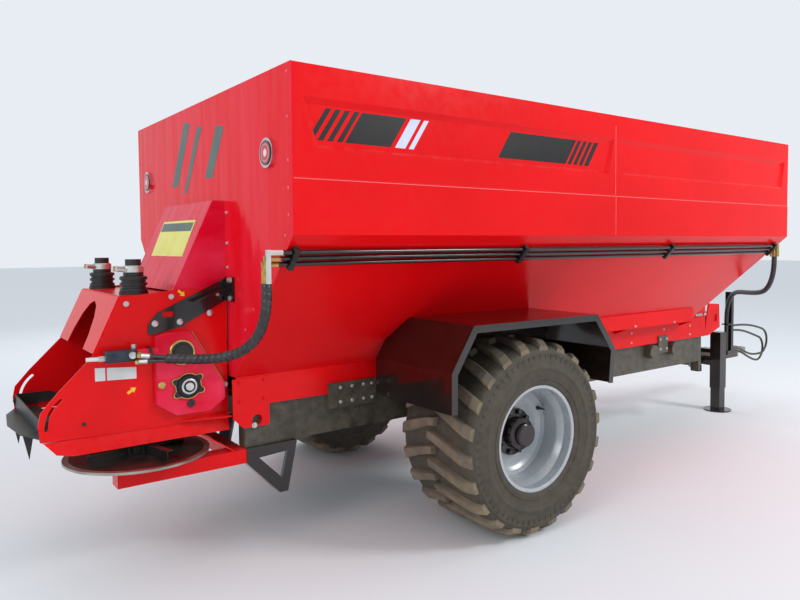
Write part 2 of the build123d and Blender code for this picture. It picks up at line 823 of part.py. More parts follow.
def spinner_motors():
    """Hydraulic motors standing on the deck above each shaft."""
    motors = []
    for side in (-1, 1):
        y = side * shaft_y
        z = deck_z + weld_gap
        motor = rod_z(shaft_x, y, motor_flange_radius, (z, z + motor_flange_height))
        motor += rod_z(shaft_x, y, motor_radius, (z, z + motor_height))
        motor += rod_z(shaft_x, y, motor_head_radius, (z, z + motor_height + motor_head_height))
        motors.append(motor)
    return Compound(motors)


def spinner(side):
    """Spreading disc with four channel vanes, its boss and shaft. The left disc runs below the right one."""
    x = shaft_x
    y = side * shaft_y
    top = spinner_top - (spinner_step if side > 0 else 0)
    disc = rod_z(x, y, spinner_radius, (top - spinner_thickness, top))
    disc += rod_z(x, y, hub_boss_radius, (top - 20, top + 40))
    disc += rod_z(x, y, shaft_radius, (top, deck_z - 2))
    vane = box((vane_inner, vane_outer), (0, vane_sheet), (top, top + vane_height))
    vane += box((vane_inner, vane_outer), (0, vane_width), (top + vane_height - vane_sheet, top + vane_height))
    for angle in vane_angles:
        disc += Pos(x, y, 0) * Rot(0, 0, -side * angle) * vane
    return disc


def flap():
    """Adjustable rear deflector: cheeks inside the shields, a wall, a rounded lip and two ribs."""
    inner = cheek_y - cheek_sheet
    span_x, span_z = flap_wall
    part = box(span_x, (-cheek_y, cheek_y), span_z)
    left = list(lip_half_outline)
    part += plate_z(left + [(lip_tip_x, 0)] + [(x, -y) for x, y in left[::-1]], lip_z, lip_sheet)
    for side in (-1, 1):
        y0, y1 = sorted((side * inner, side * cheek_y))
        bolt_span = sorted((side * (inner - slot_bolt_radius), side * (shield_y + bolt_stand_out)))
        part += plate_y(cheek_outline, y0, y1 - y0)
        part += rod_y(flap_pivot_x, flap_pivot_z, pivot_bolt_radius, bolt_span)
        part += rod_y(flap_pivot_x - slot_radius, flap_pivot_z, slot_bolt_radius, bolt_span)
    for y in flap_rib_y:
        part += plate_y(flap_rib_outline, y - flap_rib_sheet / 2, flap_rib_sheet)
    return part


def lower_frame():
    """Side beams below the spinners, their cross tie and the leaning apron ahead of the discs."""
    half = side_beam_width / 2
    tie_y = side_beam_y - half
    tie = box((side_beam_front_x - 60, side_beam_front_x), (-tie_y, tie_y),
              (side_beam_bottom, side_beam_bottom + side_beam_height))
    frame = tie + plate_y(band([(apron_top_x, apron_top_z), (side_beam_front_x - shield_sheet, side_beam_bottom + 30)],
                              shield_sheet),
                          -side_beam_y - half, 2 * (side_beam_y + half))
    for side in (-1, 1):
        ys = sorted((side * tie_y, side * (side_beam_y + half)))
        frame += box((side_beam_rear_x, side_beam_front_x), ys, (side_beam_bottom, side_beam_bottom + side_beam_height))
    return frame


def rear_guards():
    """Folded black channels under the rails that carry the side beams, each with a three-cornered hole."""
    x0 = side_beam_front_x + weld_gap
    top = rail_bottom - weld_gap
    outline, hollow, hole = ([(x0 + dx, top + dz) for dx, dz in corners]
                             for corners in (guard_outline, guard_hollow, guard_hole))
    channel = plate_y(outline, -guard_y, guard_width) - plate_y(hollow, -guard_y + guard_sheet, guard_width)
    channel -= plate_y(hole, -guard_y - cut_past, guard_width + 2 * cut_past)
    return Compound(both_sides(channel))


def hood_arms():
    """Black side arms from the rear wall to the spinner housing."""
    y = -shield_y - shield_sheet - weld_gap - arm_sheet
    hole_x, hole_z = arm_hole
    foot_x, foot_z = arm_foot
    arm = plate_y(arm_outline, y, arm_sheet) - box(hole_x, (y - cut_past, y + arm_sheet + cut_past), hole_z)
    arm += box(foot_x, (y - arm_foot_width, y + arm_sheet), foot_z)
    return Compound(both_sides(arm + plate_y(arm_rib, y - arm_rib_width, arm_rib_width + cut_past)))


def gearbox():
    """Reduction gearbox on the right shield that turns the belt's drum, with its eared bearing cover."""
    y = -shield_y - shield_sheet - weld_gap
    case = plate_y(gear_cover_outline, y - gear_cover_depth, gear_cover_depth)
    face = y - gear_cover_depth
    ears = []
    for i in range(ear_count):
        for turn, radius in ((-11, ear_radius), (11, ear_radius), (19, ear_ring_radius), (41, ear_ring_radius)):
            a = radians(i * 360 / ear_count + turn)
            ears.append((output_x + radius * cos(a), belt_axis_z + radius * sin(a)))
    case += plate_y(ears, face - ear_thickness, ear_thickness + cut_past)
    for x, z, radius, depth in bearing_table:
        case += rod_y(x, z, radius, (face - depth, face + 1))
    return case


def belt_motor():
    """Hydraulic motor beside the upper gear shaft, with the socket that the hoses end in."""
    near = -shield_y - shield_sheet - weld_gap - motor_stand_off
    span_x, span_z = motor_block
    body = box(span_x, (near - motor_block_width, near), span_z)
    body += rod_x(near - motor_block_width / 2, motor_neck_z, motor_neck_radius,
                  (span_x[1], gear_cover_outline[0][0] - weld_gap))
    end = Vector(*rear_bundle_points[-1])
    way = (end - Vector(*rear_bundle_points[-2])).normalized()
    socket = Plane(origin=end + way * weld_gap, z_dir=way) * Circle(bundle_radius)
    return body + extrude(socket, amount=socket_length, dir=way)


def rear_lamps(part_name):
    """Round lamps on the rear wall."""
    solids = []
    for side in (-1, 1):
        if part_name == "bezel":
            ring = rod_x(side * lamp_y, lamp_z, lamp_radius, (-lamp_depth, -weld_gap))
            ring -= rod_x(side * lamp_y, lamp_z, lamp_radius - 12, (-lamp_depth - 1, -6))
            solids.append(ring)
        else:
            solids.append(rod_x(side * lamp_y, lamp_z, lamp_radius - 12.5, (-lamp_depth - 4, -6 - weld_gap)))
    return Compound(solids)


def pipe_places():
    """The y and z of each pipe, in a row parallel to the slope."""
    places = []
    for i in range(3):
        z = pipe_top_z - i * pipe_pitch
        places.append((-(foot_half_width + (z - foot_height) / tan(slope_angle)) - pipe_standoff, z))
    return places


def pipe_line():
    """Three pressure pipes in a row against the slope."""
    return [rod_x(y, z, pipe_radius, (pipe_rear_x, pipe_front_x)) for y, z in pipe_places()]


def pipe_clamps():
    """Clamps of a base plate, a strap and two end blocks that hold the pipes off the slope."""
    places = pipe_places()
    along = Vector(places[0][0] - places[-1][0], places[0][1] - places[-1][1]).normalized()
    out = Vector(-along.Y, along.X)
    top = Vector(*places[0]) + along * pipe_clamp_overhang
    low = Vector(*places[-1]) - along * pipe_clamp_overhang
    gap = pipe_radius + weld_gap
    base = pipe_standoff * sin(slope_angle) - 1
    clamps = []
    for i in range(pipe_clamp_count):
        x = pipe_clamp_first + i * (pipe_clamp_last - pipe_clamp_first) / (pipe_clamp_count - 1)
        block = None
        for a, b, near, far in ((low, top, -base, -gap), (low, top, gap, gap + pipe_strap),
                                (top - along * pipe_strap, top, -gap - 1, gap + 1),
                                (low, low + along * pipe_strap, -gap - 1, gap + 1)):
            corners = [a + out * near, b + out * near, b + out * far, a + out * far]
            bar = plate_x([(c.X, c.Y) for c in corners], x, pipe_clamp_width)
            block = bar if block is None else block + bar
        clamps.append(block)
    return Compound(clamps)


def hose(points, radius, name):
    """A hose's solid: straight runs joined by arcs as large as the runs allow."""
    radii = []
    for i in range(1, len(points) - 1):
        before = Vector(*points[i]) - Vector(*points[i - 1])
        after = Vector(*points[i + 1]) - Vector(*points[i])
        half_turn = radians(before.get_angle(after)) / 2
        radii.append(0.45 * min(before.length, after.length) / tan(half_turn))
    path = FilletPolyline(*points, radius=radii)
    start = Plane(origin=path @ 0, z_dir=path % 0)
    tube = sweep(start * Circle(radius), path=path)
    print(name, "radii", [round(r) for r in radii], "volume ratio", tube.volume / (pi * radius ** 2 * path.length))
    return tube


# Hose routes from end to end, chosen by hand
rear_start_x = pipe_rear_x - rear_elbow[0]
front_start_x = pipe_front_x + front_elbow[0]
rear_bundle_points = ((rear_start_x, -1125, rear_elbow[1] - weld_gap), (rear_start_x, -1125, 1430),
                      (-100, -1100, 1345), (-110, -1052, 1268), (-134, -985, 1208), (-178, -905, 1165),
                      (-240, -810, 1146), (-308, -705, 1138), (-393, -620, 1140))
front_bundle_points = ((front_start_x, -1125, front_elbow[1] - weld_gap), (front_start_x, -1125, 1465),
                       (4585.4, -1093.2, 1362), (4637, -1033, 1284), (4704, -955, 1241), (4807, -835, 1222),
                       (4923, -700, 1212), (5040.5, -564, 1206), (5131.8, -458, 1190), (5200, -378, 1140),
                       (5246, -325, 1055), (bundle_drop_x, holder_y, 960),
                       (bundle_drop_x, holder_y, holder_shelf_z + weld_gap))
loop_start_x = holder_post_x + holder_post_size[0] + weld_gap
upper_loop_points = ((loop_start_x, -318, 835), (5500, -318, 835), (5720, -320, 812), (5890, -322, 775),
                     (5994, -322, 745), (6054, -321, 675), (6054, -320, 581), (5994, -319, 508), (5901, -318, 492),
                     (5740, -318, 500), (5590, -318, 545), (5470, -318, 597), (loop_start_x, -318, 597))
lower_loop_points = ((loop_start_x, -282, 780), (5480, -282, 780), (5660, -281, 752), (5810, -280, 710),
                     (5925, -279, 676), (6010, -279, 647), (6056, -279, 568), (6040, -280, 478), (5970, -281, 420),
                     (5880, -282, 420), (5740, -282, 470), (5600, -282, 535), (5470, -282, 564),
                     (loop_start_x, -282, 564))


def pipe_elbows(end_x, outward, reach, low_z):
    """Hexagonal elbows that turn each pipe down into the hoses."""
    elbows = []
    hexagon = RegularPolygon(elbow_radius, 6)
    for y, z in pipe_places():
        centre = end_x + outward * reach
        near = end_x + outward * weld_gap
        level = Plane(origin=(near, y, z), x_dir=(0, 1, 0), z_dir=(outward, 0, 0))
        down = Plane(origin=(centre, y, z), x_dir=(1, 0, 0), z_dir=(0, 0, -1))
        half = elbow_radius * 0.8
        elbow = extrude(level * hexagon, amount=reach - 1) + extrude(down * hexagon, amount=z - low_z)
        elbows.append(elbow + box((centre - half, centre + half), (y - half, y + half), (z - half, z + elbow_radius)))
    return Compound(elbows)


def hose_support():
    """Holder on the drawbar: an arm, an upright post, a shelf and the sleeve of the descending hoses."""
    wide, deep = holder_post_size
    base = beam_front_bottom + beam_front_height + weld_gap
    rear = bundle_drop_x - front_bundle_radius - holder_rim
    low_y = holder_y - deep / 2
    shelf_low = holder_shelf_z - holder_shelf_sheet
    holder = box((rear, holder_post_x + wide), (low_y, holder_inner_y), (base, base + holder_arm_height))
    holder += box((holder_post_x, holder_post_x + wide), (low_y, low_y + deep), (base, holder_top))
    holder += box((rear, holder_post_x + cut_past), (low_y, low_y + deep), (shelf_low, holder_shelf_z))
    holder += rod_z(bundle_drop_x, holder_y, front_bundle_radius - 2, (base + 20, shelf_low + cut_past))
    clip_x = bundle_drop_x + front_bundle_radius + weld_gap
    clip_width, clip_low, clip_high = holder_clip
    return holder + box((clip_x, holder_post_x + cut_past), (holder_y - clip_width / 2, holder_y + clip_width / 2),
                        (clip_low, clip_high))


def jack_tube():
    """Outer tube of the jack with its bracket to the drawbar."""
    half = jack_tube_width / 2
    tube = box((jack_x - half, jack_x + half), (jack_y - half, jack_y + half), (jack_tube_bottom, jack_top))
    hollow = half - jack_wall
    tube -= box((jack_x - hollow, jack_x + hollow), (jack_y - hollow, jack_y + hollow),
                (jack_tube_bottom - 1, jack_top - jack_cap))
    return tube + box((jack_x - 50, jack_x + 50), (jack_y + half, -beam_width / 2 - weld_gap),
                      (beam_front_bottom + 20, beam_front_bottom + 95))


def jack_leg():
    """Sliding leg with its round foot."""
    half = jack_tube_width / 2 - jack_wall - jack_slide_gap
    leg = box((jack_x - half, jack_x + half), (jack_y - half, jack_y + half), (5, jack_leg_top))
    leg += rod_z(jack_x, jack_y, jack_foot_radius, (0, jack_foot_thickness))
    return leg


def nodes():
    """Every node of the machine by name."""
    made = {}
    made["chassis_rails"] = chassis_rails()
    made["cross_members"] = cross_members()
    made["drawbar_beam"] = drawbar()
    made["towing_eye"] = towing_eye()
    made["axle_beam"] = axle()
    for name, maker in (("hopper_side", hopper_side_right), ("hopper_slope", hopper_slope_right),
                        ("sill", sill_right), ("front_bracket", front_bracket_right), ("fender", fender_right),
                        ("shield", shield_right), ("tyre", tyre_right), ("rim", rim_right), ("hub", hub_right)):
        right = maker()
        made[name + "_right"] = right
        made[name + "_left"] = mirror(right, about=Plane.XZ)
    made["hopper_front_wall"] = hopper_front()
    made["hopper_rear_wall"] = hopper_rear()
    made["hopper_cross_tie"] = hopper_ties()
    made["belt_skirts"] = belt_skirts()
    made["floor_belt"] = floor_belt()
    made["belt_drums"] = belt_rollers()
    made["body_clamps"] = body_clamps()
    made["rear_end_plates"] = rear_end_plates()
    made["deck_plate"] = deck()
    made["rear_arch"] = rear_arch()
    made["outlet_hood"] = hood()
    made["spinner_motors"] = spinner_motors()
    made["spinner_right"] = spinner(-1)
    made["spinner_left"] = spinner(1)
    made["deflector_flap"] = flap()
    made["side_beams"] = lower_frame()
    made["rear_guards"] = rear_guards()
    made["housing_arms"] = hood_arms()
    made["belt_gearbox"] = gearbox()
    made["belt_motor"] = belt_motor()
    made["lamp_bezels"] = rear_lamps("bezel")
    made["lamp_lenses"] = rear_lamps("lens")
    made["oil_pipes"] = Compound(pipe_line())
    made["pipe_clamps"] = pipe_clamps()
    made["rear_elbows"] = pipe_elbows(pipe_rear_x, -1, *rear_elbow)
    made["front_elbows"] = pipe_elbows(pipe_front_x, 1, *front_elbow)
    made["rear_hose_bundle"] = hose(rear_bundle_points, bundle_radius, "rear bundle")
    made["front_hose_bundle"] = hose(front_bundle_points, front_bundle_radius, "front bundle")
    made["upper_loop_hose"] = hose(upper_loop_points, loop_hose_radius, "upper loop")
    made["lower_loop_hose"] = hose(lower_loop_points, loop_hose_radius, "lower loop")
    made["hose_holder"] = hose_support()
    made["jack_tube"] = jack_tube()
    made["jack_leg"] = jack_leg()
    return made


def main():
    os.makedirs("parts", exist_ok=True)
    for name, shape in nodes().items():
        placed = Pos(-middle_x, 0, 0) * shape
        placed.label = name
        export_step(placed, "parts/" + name + ".step")


main()
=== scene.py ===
import bpy, bmesh, json, math
from mathutils import Matrix, Vector


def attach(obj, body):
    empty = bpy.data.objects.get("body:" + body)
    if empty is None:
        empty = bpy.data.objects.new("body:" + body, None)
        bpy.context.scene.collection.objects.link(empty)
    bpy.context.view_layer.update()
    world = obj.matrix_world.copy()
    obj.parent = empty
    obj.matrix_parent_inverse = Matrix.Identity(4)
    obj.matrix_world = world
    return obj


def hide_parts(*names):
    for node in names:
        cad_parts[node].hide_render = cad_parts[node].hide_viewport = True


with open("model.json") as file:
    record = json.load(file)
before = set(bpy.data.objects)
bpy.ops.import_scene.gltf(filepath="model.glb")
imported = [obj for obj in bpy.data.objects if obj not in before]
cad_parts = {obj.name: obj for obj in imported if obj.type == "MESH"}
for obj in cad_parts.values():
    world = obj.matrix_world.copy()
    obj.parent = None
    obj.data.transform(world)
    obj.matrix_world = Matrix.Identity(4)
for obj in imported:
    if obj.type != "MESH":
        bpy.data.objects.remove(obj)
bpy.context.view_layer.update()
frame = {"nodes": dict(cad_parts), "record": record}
cadNodes = frame["nodes"]
shiftX = -2.5725  # the hopper's rear wall stands this far behind the frame's origin, in metres
collection = bpy.context.scene.collection
print("frame loaded:", len(cadNodes), "nodes")


def linear(hexColour, alpha=1.0):
    # turns an sRGB hex value to the linear colour that the shader wants
    parts = [int(hexColour[i:i + 2], 16) / 255 for i in (1, 3, 5)]
    return tuple(c / 12.92 if c <= 0.04045 else ((c + 0.055) / 1.055) ** 2.4 for c in parts) + (alpha,)


def addNode(tree, kind, inputs=None, **settings):
    # adds one node, sets its properties, and sets or links its inputs
    node = tree.nodes.new(kind)
    for name, value in settings.items():
        setattr(node, name, value)
    for name, value in (inputs or {}).items():
        if isinstance(value, bpy.types.NodeSocket):
            tree.links.new(value, node.inputs[name])
        else:
            node.inputs[name].default_value = value
    return node


def at(x, y, z):
    # a place in millimetres from the hopper's rear wall, as metres in the frame
    return Vector((x / 1000 + shiftX, y / 1000, z / 1000))


def show(piece):
    collection.objects.link(piece)
    return piece


def shadeSmooth(mesh, angle):
    mesh.shade_smooth()
    mesh.set_sharp_from_angle(angle=math.radians(angle))


def makeMesh(name, verts, faces, finish, smooth=None):
    # merges doubles, turns faces outwards and shades smooth below an angle in degrees
    mesh = bpy.data.meshes.new(name)
    mesh.from_pydata([tuple(v) for v in verts], [], faces)
    work = bmesh.new()
    work.from_mesh(mesh)
    bmesh.ops.remove_doubles(work, verts=work.verts, dist=0.00001)
    bmesh.ops.recalc_face_normals(work, faces=work.faces)
    work.to_mesh(mesh)
    work.free()
    mesh.materials.append(finishes[finish])
    if smooth:
        shadeSmooth(mesh, smooth)
    return mesh


def addObject(name, mesh, body):
    piece = show(bpy.data.objects.new(name, mesh))
    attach(piece, body)
    return piece


def addPiece(name, verts, faces, finish, body="spreader", smooth=None, slot=None, replaces=()):
    piece = addObject(name, makeMesh(name, verts, faces, finish, smooth), body)
    if replaces:
        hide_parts(*replaces)
    return piece


def otherSide(corners):
    # the same places across the machine's centre plane
    return [Vector((c.x, -c.y, c.z)) for c in corners]


def gridFaces(rows, around):
    # the quads between rings of points
    return [(i * around + j, i * around + (j + 1) % around, (i + 1) * around + (j + 1) % around, (i + 1) * around + j)
            for i in range(rows - 1) for j in range(around)]


def capFaces(rows, around):
    # closes the first and the last ring
    return [tuple(range(around))[::-1], tuple((rows - 1) * around + j for j in range(around))]


# Camera, at the photograph's viewpoint
cameraSettings = {
    "place": (-4.0145, -4.075, 1.686),
    "yaw": 52.295, "pitch": -2.841, "roll": -0.38,
    "focal": 31.54, "shift": (-0.0385, -0.0264),
}


def makeCamera(s):
    data = bpy.data.cameras.new("camera")
    data.lens = s["focal"]
    data.sensor_width = 36
    data.shift_x, data.shift_y = s["shift"]
    data.clip_end = 200
    camera = show(bpy.data.objects.new("camera", data))
    yaw, pitch = math.radians(s["yaw"]), math.radians(s["pitch"])
    forward = Vector((math.cos(yaw) * math.cos(pitch), math.sin(yaw) * math.cos(pitch), math.sin(pitch)))
    turn = forward.to_track_quat("-Z", "Y").to_matrix() @ Matrix.Rotation(math.radians(s["roll"]), 3, "Z")
    camera.matrix_world = Matrix.Translation(s["place"]) @ turn.to_4x4()
    bpy.context.scene.camera = camera


makeCamera(cameraSettings)
print("camera placed")


# Finishes. Sizes of patterns are in millimetres
def makeFinish(name, s):
    material = bpy.data.materials.new(name)
    material.use_nodes = True
    tree = material.node_tree
    shader = tree.nodes["Principled BSDF"]
    shader.inputs["Metallic"].default_value = s.get("metallic", 0)
    shader.inputs["Specular IOR Level"].default_value = s.get("gloss", 0.5)
    shader.inputs["Coat Weight"].default_value = s.get("coat", 0)
    shader.inputs["Coat Roughness"].default_value = 0.06
    place = addNode(tree, "ShaderNodeTexCoord").outputs["Object"]
    stretch = s.get("stretch", (1, 1, 1))
    pattern = addNode(tree, "ShaderNodeMapping", {"Vector": place, "Scale": stretch}).outputs["Vector"]
    # a slow drift of tone; on the rear sheets and the rear cover it is stretched into lighter pink streaks, which are
    # painted reflections
    toneAndSheen = addNode(tree, "ShaderNodeTexNoise", {"Vector": pattern, "Scale": 1000 / s["driftSize"], "Detail": 3})
    spread = addNode(tree, "ShaderNodeMapRange", {"Value": toneAndSheen.outputs["Fac"], "From Min": 0.36, "From Max": 0.66})
    shade = addNode(tree, "ShaderNodeMix", {0: spread.outputs["Result"], 6: linear(s["colour"]),
                                            7: linear(s["second"])}, data_type="RGBA")
    # dust lies thicker on faces that look up; on the gloss black and chassis finishes this mix is also painted light, a
    # painted reflection and sunlit sheen that are stronger on upward faces
    normal = addNode(tree, "ShaderNodeNewGeometry").outputs["Normal"]
    up = addNode(tree, "ShaderNodeSeparateXYZ", {"Vector": normal}).outputs["Z"]
    level = addNode(tree, "ShaderNodeMapRange", {"Value": up, "From Min": -0.1, "From Max": 1.0,
                                                 "To Min": s.get("dustAndSheen", 0), "To Max": s.get("topDustAndSheen", 0)})
    specks = addNode(tree, "ShaderNodeTexNoise", {"Vector": place, "Scale": 1000 / s.get("dustAndSheenSize", 60), "Detail": 6,
                                                  "Roughness": 0.7})
    patch = addNode(tree, "ShaderNodeMapRange", {"Value": specks.outputs["Fac"], "From Min": 0.35, "From Max": 0.7})
    dustAndSheenShare = addNode(tree, "ShaderNodeMath", {0: level.outputs["Result"], 1: patch.outputs["Result"]},
                    operation="MULTIPLY", use_clamp=True)
    coated = addNode(tree, "ShaderNodeMix", {0: dustAndSheenShare.outputs["Value"], 6: shade.outputs[2],
                                             7: linear(s.get("dustAndSheenColour", "#B8A98F"))}, data_type="RGBA")
    tree.links.new(coated.outputs[2], shader.inputs["Base Color"])
    smooth, rough = s["roughness"]
    haze = addNode(tree, "ShaderNodeMapRange", {"Value": specks.outputs["Fac"], "From Min": 0.3, "From Max": 0.7,
                                                "To Min": smooth, "To Max": rough})
    tree.links.new(haze.outputs["Result"], shader.inputs["Roughness"])
    # a slow wave of the sheet, then the fine skin of the finish
    wave = addNode(tree, "ShaderNodeTexNoise", {"Vector": pattern, "Scale": 1000 / s.get("waveSize", 400), "Detail": 1})
    first = addNode(tree, "ShaderNodeBump", {"Height": wave.outputs["Fac"], "Strength": 1,
                                             "Distance": s.get("waveDepth", 0) / 1000})
    grain = addNode(tree, "ShaderNodeTexNoise", {"Vector": place, "Scale": 1000 / s["grainSize"], "Detail": 2})
    second = addNode(tree, "ShaderNodeBump", {"Height": grain.outputs["Fac"], "Strength": 1,
                                              "Distance": s["grainDepth"] / 1000, "Normal": first.outputs["Normal"]})
    tree.links.new(second.outputs["Normal"], shader.inputs["Normal"])
    return material


redSkin = {"topDustAndSheen": 0.1, "dustAndSheenColour": "#E9B3A6", "grainSize": 5, "grainDepth": 0.012}
filmSkin = {"gloss": 0.35, "roughness": (0.3, 0.4), "grainSize": 2, "grainDepth": 0.004}
finishSettings = {
    # sprayed two-coat gloss on sheet: deep even red with a wet shine and a slight wave
    "redPaint": {**redSkin, "colour": "#EB0B12", "second": "#E0080F", "driftSize": 900, "gloss": 0.17,
                 "roughness": (0.14, 0.24), "waveSize": 350, "waveDepth": 1.6},
    # the same gloss on the large rear sheets, whose flatness wanders from top to bottom; the lighter pink streaks in
    # its colour are painted reflections
    "redRearPaint": {**redSkin, "colour": "#EA0A1C", "second": "#EE2036", "driftSize": 700, "stretch": (1, 5, 0.7),
                     "gloss": 0.12, "roughness": (0.12, 0.2), "waveSize": 500, "waveDepth": 4},
    # gloss on the rear cover: the pink cast and the lighter pink streaks in the colour are a painted sheen, where light
    # shows pink along the slant
    "redWithPaintedSheen": {**redSkin, "colour": "#E20A30", "second": "#EC3454", "driftSize": 300, "stretch": (1, 4, 1.6),
                     "gloss": 0.12, "roughness": (0.12, 0.22), "topDustAndSheen": 0.08, "waveSize": 300, "waveDepth": 2},
    # gloss black enamel: nearly black, with brown in patches and on upward faces that is dust and also a painted
    # reflection
    "blackPaint": {"colour": "#120C0A", "second": "#1C1310", "driftSize": 300, "gloss": 0.5, "coat": 0.35,
                   "roughness": (0.1, 0.22), "dustAndSheen": 0.05, "topDustAndSheen": 0.14, "dustAndSheenColour": "#6B4A3A", "waveSize": 300,
                   "waveDepth": 1.2, "grainSize": 4, "grainDepth": 0.01},
    # black chassis enamel painted olive brown, paler in patches and most on upward faces: painted sunlight and sheen on
    # the gloss black
    "chassisPaint": {"colour": "#37322B", "second": "#4B453B", "driftSize": 350, "gloss": 0.4, "coat": 0.1,
                     "roughness": (0.3, 0.5), "dustAndSheen": 0.42, "topDustAndSheen": 0.6, "dustAndSheenColour": "#7E7665", "waveSize": 300,
                     "waveDepth": 0.8, "grainSize": 3, "grainDepth": 0.03},
    # mild steel that work keeps bare: grey, brushed by the load
    "bareSteel": {"colour": "#9A958C", "second": "#B9B5AC", "driftSize": 120, "metallic": 1, "roughness": (0.35, 0.6),
                  "dustAndSheen": 0.1, "topDustAndSheen": 0.3, "dustAndSheenColour": "#8A7F6C", "grainSize": 2, "grainDepth": 0.02},
    # zinc-plated fasteners: bright, slightly blue silver
    "zincPlate": {"colour": "#D9D8D2", "second": "#C6C8C8", "driftSize": 30, "metallic": 0.85,
                  "roughness": (0.28, 0.42), "grainSize": 2, "grainDepth": 0.01},
    # yellow-passivated fittings: pale brass
    "brassFitting": {"colour": "#CDB06A", "second": "#B89450", "driftSize": 25, "metallic": 0.9,
                     "roughness": (0.28, 0.4), "grainSize": 2, "grainDepth": 0.01},
    # silver wheel paint: cool light grey with a soft metallic flake
    "rimPaint": {"colour": "#B7BBBE", "second": "#A9B0B6", "driftSize": 160, "metallic": 0.25, "gloss": 0.5,
                 "coat": 0.15, "roughness": (0.24, 0.36), "dustAndSheen": 0.06, "topDustAndSheen": 0.1, "dustAndSheenColour": "#A69A88",
                 "grainSize": 3, "grainDepth": 0.01},
    # vulcanised tyre rubber, bloomed brown and powdered with soil
    "tyreRubber": {"colour": "#37312A", "second": "#453E34", "driftSize": 90, "roughness": (0.62, 0.85), "dustAndSheen": 0.35,
                   "topDustAndSheen": 0.4, "dustAndSheenColour": "#6F6655", "dustAndSheenSize": 35, "grainSize": 3, "grainDepth": 0.12},
    # the worn faces of the lugs: pale dry soil rubbed into the rubber
    "lugRubber": {"colour": "#4E4A45", "second": "#6B6358", "driftSize": 260, "roughness": (0.65, 0.85), "dustAndSheen": 0.55,
                  "topDustAndSheen": 0.3, "dustAndSheenColour": "#A8906C", "dustAndSheenSize": 160, "grainSize": 4, "grainDepth": 0.3},
    # woven-core belt rubber, scuffed grey
    "beltRubber": {"colour": "#262523", "second": "#34312D", "driftSize": 140, "roughness": (0.6, 0.8), "dustAndSheen": 0.2,
                   "topDustAndSheen": 0.5, "dustAndSheenColour": "#7B7466", "grainSize": 3, "grainDepth": 0.1},
    # extruded hose rubber: satin black
    "hoseRubber": {"colour": "#17171A", "second": "#25262B", "driftSize": 60, "gloss": 0.55, "roughness": (0.26, 0.4),
                   "dustAndSheen": 0.1, "topDustAndSheen": 0.25, "dustAndSheenColour": "#7F7C74", "grainSize": 2, "grainDepth": 0.03},
    # older loop hoses, olive black
    "loopRubber": {"colour": "#22231B", "second": "#303226", "driftSize": 60, "gloss": 0.55, "roughness": (0.25, 0.4),
                   "dustAndSheen": 0.15, "topDustAndSheen": 0.3, "dustAndSheenColour": "#6E6C58", "grainSize": 2, "grainDepth": 0.03},
    # black cast iron, sand-cast skin under thin paint
    "castIron": {"colour": "#1B1A1A", "second": "#2A2826", "driftSize": 50, "gloss": 0.5, "roughness": (0.3, 0.5),
                 "topDustAndSheen": 0.2, "dustAndSheenColour": "#5A5148", "grainSize": 3, "grainDepth": 0.1},
    # blue-grey anodised valve body
    "valveBlock": {"colour": "#3E4552", "second": "#2C313C", "driftSize": 40, "metallic": 0.5,
                   "roughness": (0.3, 0.45), "grainSize": 2, "grainDepth": 0.02},
    # disc steel darkened by fertilizer, polished at the rim
    "discSteel": {"colour": "#2A2624", "second": "#3D3835", "driftSize": 160, "metallic": 0.7,
                  "roughness": (0.3, 0.5), "topDustAndSheen": 0.15, "dustAndSheenColour": "#8F877C", "grainSize": 3,
                  "grainDepth": 0.05},
    # moulded black ABS
    "blackPlastic": {"colour": "#161616", "second": "#202022", "driftSize": 80, "roughness": (0.35, 0.5),
                     "topDustAndSheen": 0.15, "grainSize": 1.5, "grainDepth": 0.02},
    # cut vinyl films, smooth and slightly glossy
    "blackFilm": {**filmSkin, "colour": "#131212", "second": "#191717", "driftSize": 200},
    "paleFilm": {**filmSkin, "colour": "#C9CFE6", "second": "#D6DBEE", "driftSize": 200},
    "greyGreenFilm": {**filmSkin, "colour": "#4F6460", "second": "#5C6F69", "driftSize": 120},
    "yellowFilm": {**filmSkin, "colour": "#E8E466", "second": "#F0EC84", "driftSize": 90},
    "amberFilm": {**filmSkin, "colour": "#F2C21C", "second": "#F6CF3A", "driftSize": 60},
    "whiteFilm": {**filmSkin, "colour": "#E2E4E2", "second": "#D4D8D8", "driftSize": 90},
    # pale pink painted glint: a highlight along the side's fold and panel joints, and on the rear wall's rivet heads
    "paintedGlintPink": {"colour": "#F2797A", "second": "#EF5A5E", "driftSize": 60, "gloss": 0.4, "roughness": (0.25, 0.35),
                 "grainSize": 2, "grainDepth": 0.01},
    # near black: the shaft seal ring, and painted shade for the inside of the bolt holes on the gear ring's ears
    "sealAndHoleShade": {"colour": "#0B0A0A", "second": "#121010", "driftSize": 40, "gloss": 0.4, "roughness": (0.35, 0.5),
                 "grainSize": 2, "grainDepth": 0.02},
    # chrome-plated lamp ring
    "chromeRing": {"colour": "#E4E2E6", "second": "#CFCDD4", "driftSize": 40, "metallic": 1,
                   "roughness": (0.1, 0.18), "grainSize": 2, "grainDepth": 0.004},
}
finishes = {name: makeFinish(name, s) for name, s in finishSettings.items()}
print("finishes made:", len(finishes))

lensSettings = {"centreY": 0.96, "centreZ": 2.122, "radius": 0.0585}


